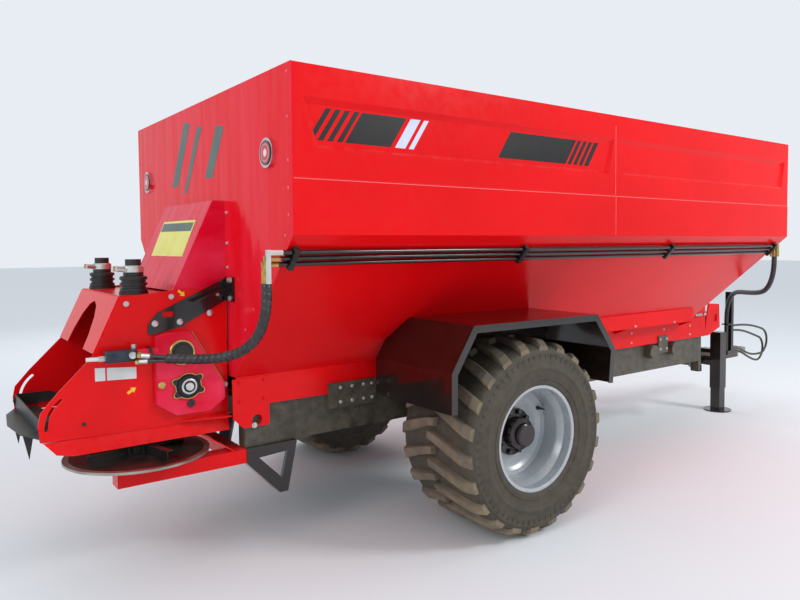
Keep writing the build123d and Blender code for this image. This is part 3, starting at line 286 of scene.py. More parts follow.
def makeLensFinish(s):
    # moulded acrylic lens: a pale centre painted as the bulb's glow, a ring of red prisms and a dark edge
    material = bpy.data.materials.new("lampLens")
    material.use_nodes = True
    tree = material.node_tree
    shader = tree.nodes["Principled BSDF"]
    shader.inputs["Roughness"].default_value = 0.12
    shader.inputs["Coat Weight"].default_value = 0.4
    parts = addNode(tree, "ShaderNodeSeparateXYZ", {"Vector": addNode(tree, "ShaderNodeTexCoord").outputs["Object"]})
    side = addNode(tree, "ShaderNodeMath", {0: parts.outputs["Y"]}, operation="ABSOLUTE")
    across = addNode(tree, "ShaderNodeMath", {0: side.outputs["Value"], 1: s["centreY"]}, operation="SUBTRACT")
    high = addNode(tree, "ShaderNodeMath", {0: parts.outputs["Z"], 1: s["centreZ"]}, operation="SUBTRACT")
    flat = addNode(tree, "ShaderNodeCombineXYZ", {"X": across.outputs["Value"], "Y": high.outputs["Value"]})
    reach = addNode(tree, "ShaderNodeVectorMath", {0: flat.outputs["Vector"]}, operation="LENGTH")
    share = addNode(tree, "ShaderNodeMath", {0: reach.outputs["Value"], 1: s["radius"]}, operation="DIVIDE")
    ramp = addNode(tree, "ShaderNodeValToRGB", {"Fac": share.outputs["Value"]})
    # the pale stops at the centre are the painted glow of the bulb
    stops = ((0.0, "#F6E6E6"), (0.28, "#F3C6C8"), (0.36, "#D3222A"), (0.55, "#B3141C"), (0.72, "#D98A8E"),
             (0.8, "#8E0F16"), (1.0, "#3A0A0D"))
    band = ramp.color_ramp
    while len(band.elements) < len(stops):
        band.elements.new(0.5)
    for element, (where, colour) in zip(band.elements, stops):
        element.position = where
        element.color = linear(colour)
    tree.links.new(ramp.outputs["Color"], shader.inputs["Base Color"])
    prism = addNode(tree, "ShaderNodeTexVoronoi", {"Vector": flat.outputs["Vector"], "Scale": 1000 / 9})
    bump = addNode(tree, "ShaderNodeBump", {"Height": prism.outputs["Distance"], "Strength": 1, "Distance": 0.001})
    tree.links.new(bump.outputs["Normal"], shader.inputs["Normal"])
    return material


# Hoses, before anything else that is shown
hoseRoutes = {
    "rear": [(-98, -1125, 1511.7), (-98, -1125, 1430), (-100, -1100, 1345), (-110, -1052, 1268), (-134, -985, 1208),
             (-178, -905, 1165), (-240, -810, 1146), (-308, -705, 1138), (-393, -620, 1140)],
    "front": [(4558, -1125, 1559.7), (4558, -1125, 1465), (4585.4, -1093.2, 1362), (4637, -1033, 1284),
              (4704, -955, 1241), (4807, -835, 1222), (4923, -700, 1212), (5040.5, -564, 1206), (5131.8, -458, 1190),
              (5200, -378, 1140), (5246, -325, 1055), (5268, -300, 960), (5268, -300, 860.3)],
    "upper": [(5345.3, -318, 835), (5500, -318, 835), (5720, -320, 812), (5890, -322, 775), (5994, -322, 745),
              (6054, -321, 675), (6054, -320, 581), (5994, -319, 508), (5901, -318, 492), (5740, -318, 500),
              (5590, -318, 545), (5470, -318, 597), (5345.3, -318, 597)],
    "lower": [(5345.3, -282, 780), (5480, -282, 780), (5660, -281, 752), (5810, -280, 710), (5925, -279, 676),
              (6010, -279, 647), (6056, -279, 568), (6040, -280, 478), (5970, -281, 420), (5880, -282, 420),
              (5740, -282, 470), (5600, -282, 535), (5470, -282, 564), (5345.3, -282, 564)],
}
ringStep = 0.0022  # metres between the rings of a wrapped hose
hoseSettings = {  # node, radius and centreline length in metres, pitch and depth of the wrap in millimetres
    "rear": ("rear_hose_bundle", 0.025, 0.812, 34, 5),
    "front": ("front_hose_bundle", 0.022, 1.503, 22, 3.5),
    "upper": ("upper_loop_hose", 0.011, 1.588, 0, 0),
    "lower": ("lower_loop_hose", 0.011, 1.589, 0, 0),
}


def makeRoute(name, points, radius):
    curve = bpy.data.curves.new(name, "CURVE")
    curve.dimensions = "3D"
    spline = curve.splines.new("NURBS")
    spline.points.add(len(points) - 1)
    for p, place in zip(spline.points, points):
        p.co = (*at(*place), 1)
    spline.order_u = 3
    spline.use_endpoint_u = True
    curve.bevel_depth = radius
    curve.bevel_resolution = 6
    curve.resolution_u = 16
    curve.use_fill_caps = True
    return show(bpy.data.objects.new(name, curve))


def readRoute(points, step):
    # evenly spaced points read from the route's own smooth line
    line = makeRoute("route", points, 0)
    line.data.resolution_u = 48
    mesh = bpy.data.meshes.new_from_object(line)
    path = [v.co.copy() for v in mesh.vertices]
    bpy.data.objects.remove(line)
    bpy.data.meshes.remove(mesh)
    if (path[0] - at(*points[0])).length > (path[-1] - at(*points[0])).length:
        path.reverse()
    spaced = [path[0]]
    carried = 0
    for a, b in zip(path, path[1:]):
        run = (b - a).length
        while carried + run >= step:
            share = (step - carried) / run
            a = a.lerp(b, share)
            run = (b - a).length
            spaced.append(a.copy())
            carried = 0
        carried += run
    spaced[-1] = path[-1]
    return spaced


def frames(path):
    # a direction and two square side directions at each point, carried along without twist
    out = []
    side = None
    for i, p in enumerate(path):
        way = (path[min(i + 1, len(path) - 1)] - path[max(i - 1, 0)]).normalized()
        if side is None:
            side = way.orthogonal().normalized()
        side = (side - way * side.dot(way)).normalized()
        out.append((p, way, side, way.cross(side)))
    return out


def wrappedTube(path, radius, pitch, depth, around=20):
    # a tube whose skin rises and falls as a spiral wrap does
    verts = []
    travelled = 0
    rings = frames(path)
    for i, (p, way, side, rise) in enumerate(rings):
        if i:
            travelled += (p - rings[i - 1][0]).length
        for j in range(around):
            a = 2 * math.pi * j / around
            phase = (travelled / pitch + j / around) % 1
            swell = math.sin(math.pi * phase) ** 0.6
            r = radius - depth * (1 - swell)
            verts.append(p + (side * math.cos(a) + rise * math.sin(a)) * r)
    return verts, gridFaces(len(rings), around) + capFaces(len(rings), around)


for name, (node, radius, length, pitch, depth) in hoseSettings.items():
    path = None
    if pitch:
        path = readRoute(hoseRoutes[name], ringStep)
        verts, faces = wrappedTube(path, radius, pitch / 1000, depth / 1000)
        hose = addPiece(name + "Hose", verts, faces, "hoseRubber", smooth=60)
    else:
        hose = makeRoute(name + "Hose", hoseRoutes[name], radius)
        hose.data.materials.append(finishes["loopRubber"])
        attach(hose, "spreader")
    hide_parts(node)
print("hoses laid")


def makeElbowFinish(s):
    # plated steel: bright zinc on the outermost pipe's elbow, yellow passivation on the other two
    material = finishes["brassFitting"].copy()
    material.name = "platedElbow"
    tree = material.node_tree
    shader = tree.nodes["Principled BSDF"]
    place = addNode(tree, "ShaderNodeTexCoord").outputs["Object"]
    across = addNode(tree, "ShaderNodeSeparateXYZ", {"Vector": place}).outputs["Y"]
    inner = addNode(tree, "ShaderNodeMath", {0: across, 1: s["split"]}, operation="GREATER_THAN")
    brass = shader.inputs["Base Color"].links[0].from_socket
    both = addNode(tree, "ShaderNodeMix", {0: inner.outputs[0], 6: linear("#D9D8D2"), 7: brass}, data_type="RGBA")
    tree.links.new(both.outputs[2], shader.inputs["Base Color"])
    return material


# Every CAD node gets its finish
finishOfSlot = {
    "red_paint": "redPaint", "black_paint": "blackPaint", "raw_steel": "bareSteel", "tyre": "tyreRubber",
    "rim_paint": "rimPaint", "belt_rubber": "beltRubber", "black_iron": "castIron", "disc_steel": "discSteel",
    "lamp_black": "blackPlastic", "red_lens": "blackPlastic", "zinc": "zincPlate", "hose_rubber": "hoseRubber",
}
finishOfNode = {
    # the rear wall and the outlet hood carry painted pink reflections; the chassis parts take painted sunlight and
    # sheen; the guards' brown is partly a painted reflection
    "hopper_rear_wall": "redRearPaint", "outlet_hood": "redWithPaintedSheen", "chassis_rails": "chassisPaint",
    "rear_guards": "blackPaint", "body_clamps": "chassisPaint", "drawbar_beam": "chassisPaint",
    "deflector_flap": "blackPlastic", "cross_members": "chassisPaint", "front_elbows": "brassFitting",
    "rear_elbows": "brassFitting",
}
slotOf = {s["node"]: s["material_slot"] for s in frame["record"]["subparts"]}
for name, node in cadNodes.items():
    node.data.materials.clear()
    node.data.materials.append(finishes[finishOfNode.get(name, finishOfSlot[slotOf[name]])])
cadNodes["lamp_lenses"].data.materials[0] = makeLensFinish(lensSettings)
cadNodes["lamp_bezels"].data.materials[0] = finishes["chromeRing"]
cadNodes["rear_elbows"].data.materials[0] = makeElbowFinish({"split": -1.1385})
print("nodes finished")


# Turned pieces
def lathe(profile, centre, axis, segments=64):
    # rings of (radius, distance along the axis) points in millimetres about a centre
    axis = Vector(axis).normalized()
    side = axis.orthogonal().normalized()
    rise = axis.cross(side)
    verts = []
    for r, d in profile:
        for j in range(segments):
            a = 2 * math.pi * j / segments
            verts.append(centre + axis * (d / 1000) + (side * math.cos(a) + rise * math.sin(a)) * (r / 1000))
    return verts, gridFaces(len(profile), segments)


def prism(corners, normal, thickness):
    # a thin plate with a flat outline, grown along its normal
    lift = Vector(normal).normalized() * (thickness / 1000)
    n = len(corners)
    verts = list(corners) + [c + lift for c in corners]
    faces = capFaces(2, n)
    faces += [(i, (i + 1) % n, n + (i + 1) % n, n + i) for i in range(n)]
    return verts, faces


def joined(shapes):
    verts, faces = [], []
    for v, f in shapes:
        base = len(verts)
        verts += v
        faces += [tuple(i + base for i in face) for face in f]
    return verts, faces


def straightTube(name, a, b, radius, finish, body="spreader", slot="zinc", around=14):
    reach = (b - a).length * 1000
    verts, faces = lathe([(0, 0), (radius, 0), (radius, reach), (0, reach)], a, b - a, around)
    addPiece(name, verts, faces, finish, body, 30, slot)


# Geometry Nodes: a part repeated about the wheel's axis, and hardware set on points
def startTree(name, **inputs):
    tree = bpy.data.node_groups.new(name, "GeometryNodeTree")
    for socket, kind in {"Geometry": "Geometry", "Part": "Object", **inputs, "Finish": "Material"}.items():
        tree.interface.new_socket(socket, in_out="INPUT", socket_type="NodeSocket" + kind)
    tree.interface.new_socket("Geometry", in_out="OUTPUT", socket_type="NodeSocketGeometry")
    return tree, addNode(tree, "NodeGroupInput").outputs


def endTree(tree, given, placed):
    real = addNode(tree, "GeometryNodeRealizeInstances", {"Geometry": placed.outputs[0]})
    done = addNode(tree, "GeometryNodeSetMaterial", {"Geometry": real.outputs[0], "Material": given["Finish"]})
    addNode(tree, "NodeGroupOutput", {"Geometry": done.outputs[0]})
    return tree


def makeRingTree():
    tree, given = startTree("repeatAround", Count="Int")
    points = addNode(tree, "GeometryNodePoints", {"Count": given["Count"]})
    index = addNode(tree, "GeometryNodeInputIndex").outputs[0]
    share = addNode(tree, "ShaderNodeMath", {0: index, 1: given["Count"]}, operation="DIVIDE")
    angle = addNode(tree, "ShaderNodeMath", {0: share.outputs[0], 1: 2 * math.pi}, operation="MULTIPLY")
    turn = addNode(tree, "FunctionNodeAxisAngleToRotation", {"Axis": (0, 1, 0), "Angle": angle.outputs[0]})
    part = addNode(tree, "GeometryNodeObjectInfo", {"Object": given["Part"]})
    placed = addNode(tree, "GeometryNodeInstanceOnPoints", {"Points": points.outputs[0],
                                                            "Instance": part.outputs["Geometry"],
                                                            "Rotation": turn.outputs[0]})
    return endTree(tree, given, placed)


def makeHardwareTree():
    tree, given = startTree("placeHardware")
    facing = addNode(tree, "GeometryNodeInputNamedAttribute", {"Name": "facing"}, data_type="FLOAT_VECTOR")
    size = addNode(tree, "GeometryNodeInputNamedAttribute", {"Name": "size"}, data_type="FLOAT")
    aim = addNode(tree, "FunctionNodeAlignRotationToVector", {"Vector": facing.outputs[0]}, axis="Z")
    chance = addNode(tree, "FunctionNodeRandomValue", {2: 0.0, 3: 2 * math.pi, "Seed": 7}, data_type="FLOAT")
    spin = addNode(tree, "FunctionNodeAxisAngleToRotation", {"Axis": (0, 0, 1), "Angle": chance.outputs[1]})
    turned = addNode(tree, "FunctionNodeRotateRotation", {"Rotation": aim.outputs[0], "Rotate By": spin.outputs[0]},
                     rotation_space="LOCAL")
    part = addNode(tree, "GeometryNodeObjectInfo", {"Object": given["Part"]})
    placed = addNode(tree, "GeometryNodeInstanceOnPoints", {"Points": given["Geometry"],
                                                            "Instance": part.outputs["Geometry"],
                                                            "Rotation": turned.outputs[0], "Scale": size.outputs[0]})
    return endTree(tree, given, placed)


ringTree = makeRingTree()
hardwareTree = makeHardwareTree()


def makePart(name, verts, faces, smooth=None):
    return show(bpy.data.objects.new(name, makeMesh(name, verts, faces, "zincPlate", smooth)))


def bake(source, tree, values, name, body, finish, place=None, smooth=None):
    # runs the tree on the source and keeps its result as a plain piece
    modifier = source.modifiers.new("nodes", "NODES")
    modifier.node_group = tree
    sockets = {s.name: s.identifier for s in tree.interface.items_tree if s.in_out == "INPUT"}
    for key, value in {**values, "Finish": finishes[finish]}.items():
        modifier[sockets[key]] = value
    mesh = bpy.data.meshes.new_from_object(source.evaluated_get(bpy.context.evaluated_depsgraph_get()))
    source.modifiers.remove(modifier)
    bpy.data.objects.remove(source)
    if place:
        mesh.transform(Matrix.Translation(place))
    if smooth:
        shadeSmooth(mesh, smooth)
    return addObject(name, mesh, body)


def repeatAround(part, count, name, body, finish, place, smooth=None):
    source = show(bpy.data.objects.new(name + "Source", bpy.data.meshes.new(name + "Source")))
    return bake(source, ringTree, {"Part": part, "Count": count}, name, body, finish, place, smooth)


def placeHardware(part, spots, name, finish="zincPlate", smooth=30):
    # spots are (place, facing, size) with the size as a factor on the part
    mesh = bpy.data.meshes.new(name + "Source")
    mesh.from_pydata([tuple(p) for p, facing, size in spots], [], [])
    mesh.attributes.new("facing", "FLOAT_VECTOR", "POINT")
    mesh.attributes.new("size", "FLOAT", "POINT")
    for i, (p, way, factor) in enumerate(spots):
        mesh.attributes["facing"].data[i].vector = way
        mesh.attributes["size"].data[i].value = factor
    source = show(bpy.data.objects.new(name + "Source", mesh))
    return bake(source, hardwareTree, {"Part": part}, name, "spreader", finish, None, smooth)


# Tyres: a turned carcass with moulded rings, lugs and sidewall ribs
tyreSettings = {
    "axleX": 1462, "axleZ": 570, "wheelY": 1023.5, "outer": 570, "lugs": 22, "lugSweep": 150, "lugWidth": (48, 70),
    "pastMiddle": 20, "lugEnd": 299, "ribs": 66,
}
flank = [(293.4, 271), (298, 281), (306, 291), (316, 297), (330, 300), (338, 301), (341, 306), (347, 306.5),
         (350, 303), (366, 305), (386, 308), (398, 309.5), (402, 312.6), (412, 313), (416, 310), (440, 309),
         (462, 306.5), (482, 304), (486, 306.5), (494, 306), (498, 302), (508, 299), (517, 292), (524, 280),
         (530, 262), (533.5, 240), (535.5, 200), (536, 120), (536, 40)]


def lugPart(s, side):
    # one lug near the bottom of the wheel, as a bar swept outwards that widens and curls at its root
    verts = []
    stations, corners = 9, 6
    for i in range(stations):
        t = i / (stations - 1)
        d = -s["pastMiddle"] + t * (s["lugEnd"] + s["pastMiddle"])
        slant = 24 + (s["lugSweep"] - 48) * (t ** 1.25)
        width = s["lugWidth"][0] + (s["lugWidth"][1] - s["lugWidth"][0]) * t
        crown = s["outer"] - 10 * t ** 2 - (26 * max(0, (t - 0.82) / 0.18) ** 1.5)
        root = 534 - (36 * max(0, (t - 0.8) / 0.2) ** 1.6)
        for across, r in ((-0.62, root - 3), (-0.5, root + 0.75 * (crown - root)), (-0.4, crown), (0.4, crown),
                          (0.5, root + 0.75 * (crown - root)), (0.62, root - 3)):
            a = (slant + across * width) / s["outer"]
            verts.append(Vector((math.sin(a) * r, side * d, -math.cos(a) * r)) / 1000)
    return verts, gridFaces(stations, corners) + capFaces(stations, corners)


def makeTyres(s):
    for side, word in ((-1, "right"), (1, "left")):
        centre = at(s["axleX"], side * s["wheelY"], s["axleZ"])
        body = "wheel_" + word
        half = flank + [(r, -d) for r, d in flank[::-1]]
        verts, faces = lathe(half + [half[0]], centre, (0, side, 0), 112)
        addPiece("tyreCarcass_" + word, verts, faces, "tyreRubber", body, 40, "tyre", ("tyre_" + word,))
        # the inboard row stands half a step round from the outboard one
        rows = []
        for row in (-1, 1):
            verts, faces = lugPart(s, row * -side)
            turn = Matrix.Rotation(math.pi / s["lugs"] if row > 0 else 0, 3, "Y")
            rows.append(([turn @ v for v in verts], faces))
        part = makePart("lugPair", *joined(rows))
        repeatAround(part, s["lugs"], "tyreLugs_" + word, body, "lugRubber", centre)
        bpy.data.objects.remove(part)
        ribs = []
        for face in (-1, 1):
            corners = [Vector((x, face * 301, -z)) / 1000 for x, z in ((-3, 455), (3, 455), (3.5, 480), (-3.5, 480))]
            ribs.append(prism(corners, (0, face, 0), 7.5))
        part = makePart("sidewallRib", *joined(ribs))
        repeatAround(part, s["ribs"], "tyreRibs_" + word, body, "tyreRubber", centre)
        bpy.data.objects.remove(part)


makeTyres(tyreSettings)
print("tyres built")

# Rims: the dish turned smooth, with its stepped well and a valve
rimSettings = {"valveAngle": 118, "valveRadius": 236}
rimProfile = [(323, 291), (321, 283), (312, 276), (298, 274), (293, 268), (293, 231), (288, 222), (272, 192),
              (269, 181), (269, -60), (276, -90), (293, -181), (293, -275), (300, -283), (323, -283), (323, -291),
              (286, -287), (286, -179), (264, -70), (262, -58), (262, 54), (110, 54), (110, 66), (196, 66), (214, 70),
              (226, 78), (236, 86), (250, 88), (262, 92), (262, 183), (265, 193), (280, 220), (286, 230), (286, 285),
              (290, 289), (300, 290), (316, 291), (323, 291)]


def makeRims(s):
    for side, word in ((-1, "right"), (1, "left")):
        centre = at(tyreSettings["axleX"], side * tyreSettings["wheelY"], tyreSettings["axleZ"])
        verts, faces = lathe(rimProfile, centre, (0, side, 0), 96)
        addPiece("rimDish_" + word, verts, faces, "rimPaint", "wheel_" + word, 28, "rim_paint",
                 ("rim_" + word,))
        a = math.radians(s["valveAngle"])
        foot = centre + Vector((math.sin(a), 0, -math.cos(a))) * (s["valveRadius"] / 1000)
        stem = [(0, 84), (13, 84), (13, 92), (9, 96), (9, 112), (5, 114), (5, 140), (0, 141)]
        verts, faces = lathe(stem, foot, (0, side, 0), 16)
        addPiece("valve_" + word, verts, faces, "castIron", "wheel_" + word, 30, "black_iron")


makeRims(rimSettings)
print("rims built")

# Fasteners: each part stands on z = 0 and points along +Z, sizes in millimetres
origin, upward = Vector((0, 0, 0)), Vector((0, 0, 1))


def boltPart(name, flats, height, washer, dome=0):
    washerRing = [(0, 0), (washer, 0), (washer, 2.4), (washer - 1, 3), (0, 3)]
    head = [(0, 3), (flats, 3), (flats, 3 + height * 0.8), (flats * 0.86, 3 + height), (0, 3 + height + dome)]
    shapes = [lathe(washerRing, origin, upward, 20), lathe(head, origin, upward, 20 if dome else 6)]
    return makePart(name, *joined(shapes), smooth=30)


hexBolt = boltPart("hexBolt", 10, 9, 14)
domeBolt = boltPart("domeBolt", 14, 6, 16, 4)
rivet = makePart("rivet", *lathe([(0, 0), (7, 0), (7, 1), (5.5, 3), (0, 4.2)], origin, upward, 14), smooth=50)

rearward, rightward, leftward = Vector((-1, 0, 0)), Vector((0, -1, 0)), Vector((0, 1, 0))


def bothSides(spots):
    # the same spots on the other side of the machine's centre plane
    other = [(Vector((p.x, -p.y, p.z)), Vector((n.x, -n.y, n.z)), s) for p, n, s in spots]
    return spots + other


rearWallRivets = [(at(-0.2, -1162, z), rearward, 1) for z in (2466, 2265, 2070, 1946, 1824)]
rearWallRivets += [(at(-0.2, -1123, 1731), rearward, 1)]
rearWallRivets += [(at(-0.2, i * 110 - 1085, 1700 - i * 112), rearward, 0.8) for i in range(1, 5)]
# the rivet heads take the pale pink of a painted glint
placeHardware(rivet, bothSides(rearWallRivets), "rearWallRivets", "paintedGlintPink", 50)
hoodBolts = [(at(-0.2, -y, z), rearward, 0.75) for y, z in ((424, 1862), (424, 1698), (424, 1569))]
placeHardware(hexBolt, bothSides(hoodBolts), "hoodBolts")
armFace, shieldFace, sillFace, railFace, plateFace = -424.5, -416.2, -493.2, -503.5, -501.6
armBolts = [(at(x, armFace, z), rightward, 1.05) for x, z in ((-387, 1293), (-262, 1293), (-104, 1330))]
armBolts += [(at(-14.2, y, z), rearward, 1) for y, z in ((-470, 1502), (-496, 1502), (-480, 1405))]
placeHardware(domeBolt, bothSides(armBolts), "armBolts")
shieldBolts = [(at(x, shieldFace, z), rightward, 1) for x, z in ((-38, 928), (-300, 1425), (-520, 1400), (-60, 1425))]
shieldBolts += [(at(101, plateFace, 707), rightward, 1.1)]
placeHardware(hexBolt, bothSides(shieldBolts), "shieldBolts")
sillBolts = [(at(x, -625.2, z), rightward, 0.62) for x, z in ((3312, 1011), (3855, 1006), (2700, 1012), (2400, 1012))]
sillBolts += [(at(x, sillFace, z), rightward, 0.62) for x in (3440, 3900, 4300) for z in (850, 930)]
sillBolts += [(at(x, railFace, z), rightward, 0.8) for x in (640, 720, 800, 860) for z in (760, 845)]
sillBolts += [(at(x, railFace, z), rightward, 0.8) for x in (3835, 3925) for z in (760, 845)]
placeHardware(hexBolt, bothSides(sillBolts), "sillBolts")
endPlateBolts = [(at(x, plateFace, z), rightward, 0.8) for x, z in ((20, 950), (160, 950), (20, 850), (160, 850))]
placeHardware(hexBolt, bothSides(endPlateBolts), "endPlateBolts", "redPaint")
print("fasteners placed")


# Films and bare plates
def film(name, corners, normal, finish, thickness=0.7, slot=None, mirrored=False):
    shapes = [prism(corners, normal, thickness)]
    if mirrored:
        shapes.append(prism(otherSide(corners), (normal[0], -normal[1], normal[2]), thickness))
    verts, faces = joined(shapes)
    return addPiece(name, verts, faces, finish, "spreader", None, slot)


stripeSettings = {"wallY": -1177.9, "low": 2168, "high": 2320, "slant": 99}


def slantedStripes(name, starts, finish, s):
    # bars that lean forward: (rear end at the foot, width) for each
    shapes = []
    for x, width in starts:
        corners = [at(x, s["wallY"], s["low"]), at(x + width, s["wallY"], s["low"]),
                   at(x + width + s["slant"], s["wallY"], s["high"]), at(x + s["slant"], s["wallY"], s["high"])]
        shapes.append(prism(corners, rightward, 0.6))
        shapes.append(prism(otherSide(corners), leftward, 0.6))
    verts, faces = joined(shapes)
    addPiece(name, verts, faces, finish, "spreader", None, "black_paint")


slantedStripes("sideStripes", [(89, 30), (141, 30), (192, 29), (244, 29), (288, 262), (1279, 562),
                               (1856, 33), (1908, 33), (1960, 33), (2010, 42)], "blackFilm", stripeSettings)
slantedStripes("paleStripes", [(577, 62), (662, 30)], "paleFilm", stripeSettings)
rearBars = (((221, 2429), (114, 2411), (353, 2053), (472, 2051)), ((-6, 2380), (-80, 2361), (193, 2005), (252, 2002)),
            ((-299, 2343), (-409, 2322), (-227, 2060), (-112, 2072)))
for i, bar in enumerate(rearBars):
    film("rearBar_%d" % i, [at(-0.1, y, z) for y, z in bar], rearward, "greyGreenFilm", 0.6)
hoodNormal = Vector((-(1927 - 1452), 0, 219)).normalized()


def onHood(y, share, lift=0.2):
    # a place on the cover's slanted face, a share of the way down it
    return at(-66 - 219 * share, y, 1927 - 475 * share) + hoodNormal * (lift / 1000)


film("hoodPlate", [onHood(284, 0.205), onHood(-269, 0.213), onHood(-305, 0.628), onHood(243, 0.63)], hoodNormal,
     "yellowFilm")
film("hoodPlateBand", [onHood(270, 0.232, 1), onHood(-256, 0.24, 1), onHood(-266, 0.34, 1), onHood(262, 0.332, 1)],
     hoodNormal, "greyGreenFilm", 0.3)
film("shieldPlate", [at(x, shieldFace, z) for x, z in ((-618, 1092), (-481, 1082), (-481, 1024), (-618, 1030))],
     rightward, "whiteFilm")
film("shieldPlateSmall", [at(x, shieldFace, z) for x, z in ((-672, 1096), (-626, 1093), (-626, 1030), (-672, 1032))],
     rightward, "whiteFilm")


def arrow(name, x, z, turn, size):
    # a blank pointing mark
    outline = ((-1, 0.28), (0.1, 0.28), (0.1, 0.7), (1, 0), (0.1, -0.7), (0.1, -0.28), (-1, -0.28))
    c, s = math.cos(math.radians(turn)), math.sin(math.radians(turn))
    film(name, [at(x + size * (a * c - b * s), shieldFace, z + size * (a * s + b * c)) for a, b in outline], rightward,
         "amberFilm")


arrow("arrowLow", -505, 966, 30, 24)
arrow("arrowHigh", -248, 1440, -42, 22)
# thin pale pink films along the fold and the panel joint: a painted glint
film("seamLine", [at(x, -1200.05, z) for x, z in ((8, 1985.5), (4618, 1985.5), (4618, 1989), (8, 1989))], rightward,
     "paintedGlintPink", 0.3, "red_paint", True)
jointRear, jointFront = 2302, 2305.5
for i, (low, high, y) in enumerate(((1736, 1984, -1200.05), (2000, 2440, -1196.05))):
    film("panelJoint_%d" % i,
         [at(x, y, z) for x, z in ((jointRear, low), (jointFront, low), (jointFront, high), (jointRear, high))],
         rightward, "paintedGlintPink", 0.3, "red_paint", True)
print("films laid")

# Upper side walls: the solid's own sheet, with the recess ends slanted and met at the photographed joint
wallSettings = {
    "reach": 9, "middle": 2245, "floorY": 1190, "slantX": 26, "slantHigh": 30, "slantLow": 16,
    "low": 2100, "high": 2400, "rearEnds": (62, 2822),
    "ends": ((62, 62, 112), (2738, 2290, 2232), (2822, 2318, 2376), (4564, 4564, 4514)),
}


def makeSideWalls(s):
    for word in ("right", "left"):
        node = cadNodes["hopper_side_" + word]
        verts = []
        for v in node.data.vertices:
            place = node.matrix_world @ v.co
            x, z = (place.x - shiftX) * 1000, place.z * 1000
            for old, high, low in s["ends"]:
                if abs(x - old) < s["reach"] and s["low"] < z < s["high"]:
                    upper = z > s["middle"]
                    x += (high if upper else low) - old
                    # the pressing's floor is smaller than its mouth, so its edges slope and catch the light
                    if abs(place.y) * 1000 < s["floorY"]:
                        x += s["slantX"] if old in s["rearEnds"] else -s["slantX"]
                        z += -s["slantHigh"] if upper else s["slantLow"]
                    break
            verts.append(at(x, place.y * 1000, z))
        faces = [tuple(f.vertices) for f in node.data.polygons]
        # the solid's mesh is loose triangles: addPiece merges its copy and turns the faces outwards
        addPiece("sideWall_" + word, verts, faces, "redPaint", "spreader", None, "red_paint",
                 ("hopper_side_" + word,))


makeSideWalls(wallSettings)
print("side walls made")

# Gearbox: a raised cover with bevelled edges, bearing rings and plugs, in the solid's own outline
gearSettings = {
    "face": -456.3, "back": -416.5, "shaft": (-239, 962), "upper": (-266, 1139), "bevel": 5,
    "outline": ((-396, 1229), (-352, 1243), (-219, 1247), (-39, 950), (-39, 870), (-120, 812), (-300, 812),
                (-396, 880)),
    "ears": (35, 158, 215, 338), "earReach": 91, "earHalfWidth": 17, "ringRadius": 67, "boltRadius": 79,
}


def bevelled(piece, width, segments=3):
    # rounds a piece's edges by a width in millimetres
    modifier = piece.modifiers.new("bevel", "BEVEL")
    modifier.width = width / 1000
    modifier.segments = segments
    modifier.limit_method = "ANGLE"
    modifier.angle_limit = math.radians(30)
    shadeSmooth(piece.data, 50)
    return piece


def gearRing(name, x, z, profile, finish, slot="zinc"):
    verts, faces = lathe(profile, at(x, gearSettings["face"], z), rightward, 48)
    addPiece(name, verts, faces, finish, "spreader", 30, slot)


def makeGearbox(s):
    depth = s["back"] - s["face"]
    verts, faces = prism([at(x, s["back"], z) for x, z in s["outline"]], rightward, depth)
    # the cover's pink cast and streaks are a painted sheen
    bevelled(addPiece("gearCover", verts, faces, "redWithPaintedSheen", "spreader", None, "red_paint",
                      ("belt_gearbox",)), s["bevel"])
    gx, gz = s["shaft"]
    outline = []
    for turn in range(0, 360, 6):
        # the ring swells to an ear round each bolt
        near = min(abs((turn - e + 180) % 360 - 180) for e in s["ears"])
        swell = max(0, 1 - (near / s["earHalfWidth"]) ** 2)
        reach = s["ringRadius"] + (s["earReach"] - s["ringRadius"]) * swell
        a = math.radians(turn)
        outline.append((reach * math.cos(a), reach * math.sin(a)))
    for name, scale, lift, depth, finish in (("earRing", 1.0, 0.4, 10.4, "brassFitting"),
                                             ("earFace", 0.94, 10.9, 0.6, "castIron")):
        corners = [at(gx + u * scale, s["face"] - lift, gz + w * scale) for u, w in outline]
        verts, faces = prism(corners, rightward, depth)
        addPiece(name, verts, faces, finish, "spreader", None, "black_iron")
    r, y = s["boltRadius"], s["face"] - 11.6
    spots = [(at(gx + r * math.cos(math.radians(a)), y, gz + r * math.sin(math.radians(a))), rightward, 0.75)
             for a in s["ears"]]
    # dark domes at the ear bolts: painted shade for the holes
    placeHardware(rivet, spots, "earBolts", "sealAndHoleShade", 50)


makeGearbox(gearSettings)
gx, gz = gearSettings["shaft"]
gearRing("shaftSeal", gx, gz, [(59, 10), (59, 22), (56, 25), (38, 25), (38, 10)], "sealAndHoleShade", "black_iron")
gearRing("shaftRace", gx, gz, [(40, 20), (40, 27), (37, 28.5), (31, 28.5), (29, 24), (29, 10)], "zincPlate")
gearRing("shaftGroove", gx, gz, [(30, 10), (30, 25), (0, 25.4)], "castIron", "black_iron")
gearRing("shaftEnd", gx, gz, [(21, 20), (21, 33), (19, 35), (9, 35), (8, 38), (0, 40)], "zincPlate")
ux, uz = gearSettings["upper"]
gearRing("upperRing", ux, uz, [(66, -0.2), (66, 8), (64, 10), (54, 10), (53, 4)], "brassFitting")
gearRing("upperCap", ux, uz, [(57, 5), (56, 10), (44, 12), (42, 19), (0, 20)], "castIron", "black_iron")
gearRing("brassPlug", -371, 981, [(19, -0.2), (19, 7), (17, 9), (9, 9), (8, 12), (0, 12.5)], "brassFitting")
gearRing("blackPlug", -225, 868, [(20, -0.2), (20, 7), (18, 9), (8, 9), (7, 5), (0, 5)], "castIron", "black_iron")
# A thin tie rod from the cover's edge down to its bolt
straightTube("tieRod", at(-206, -440, 1238), at(-34, -440, 946), 3.5, "brassFitting")
straightTube("tieRodBolt", at(-34, -416, 942), at(-34, -450, 942), 12, "zincPlate")
print("gearbox dressed")

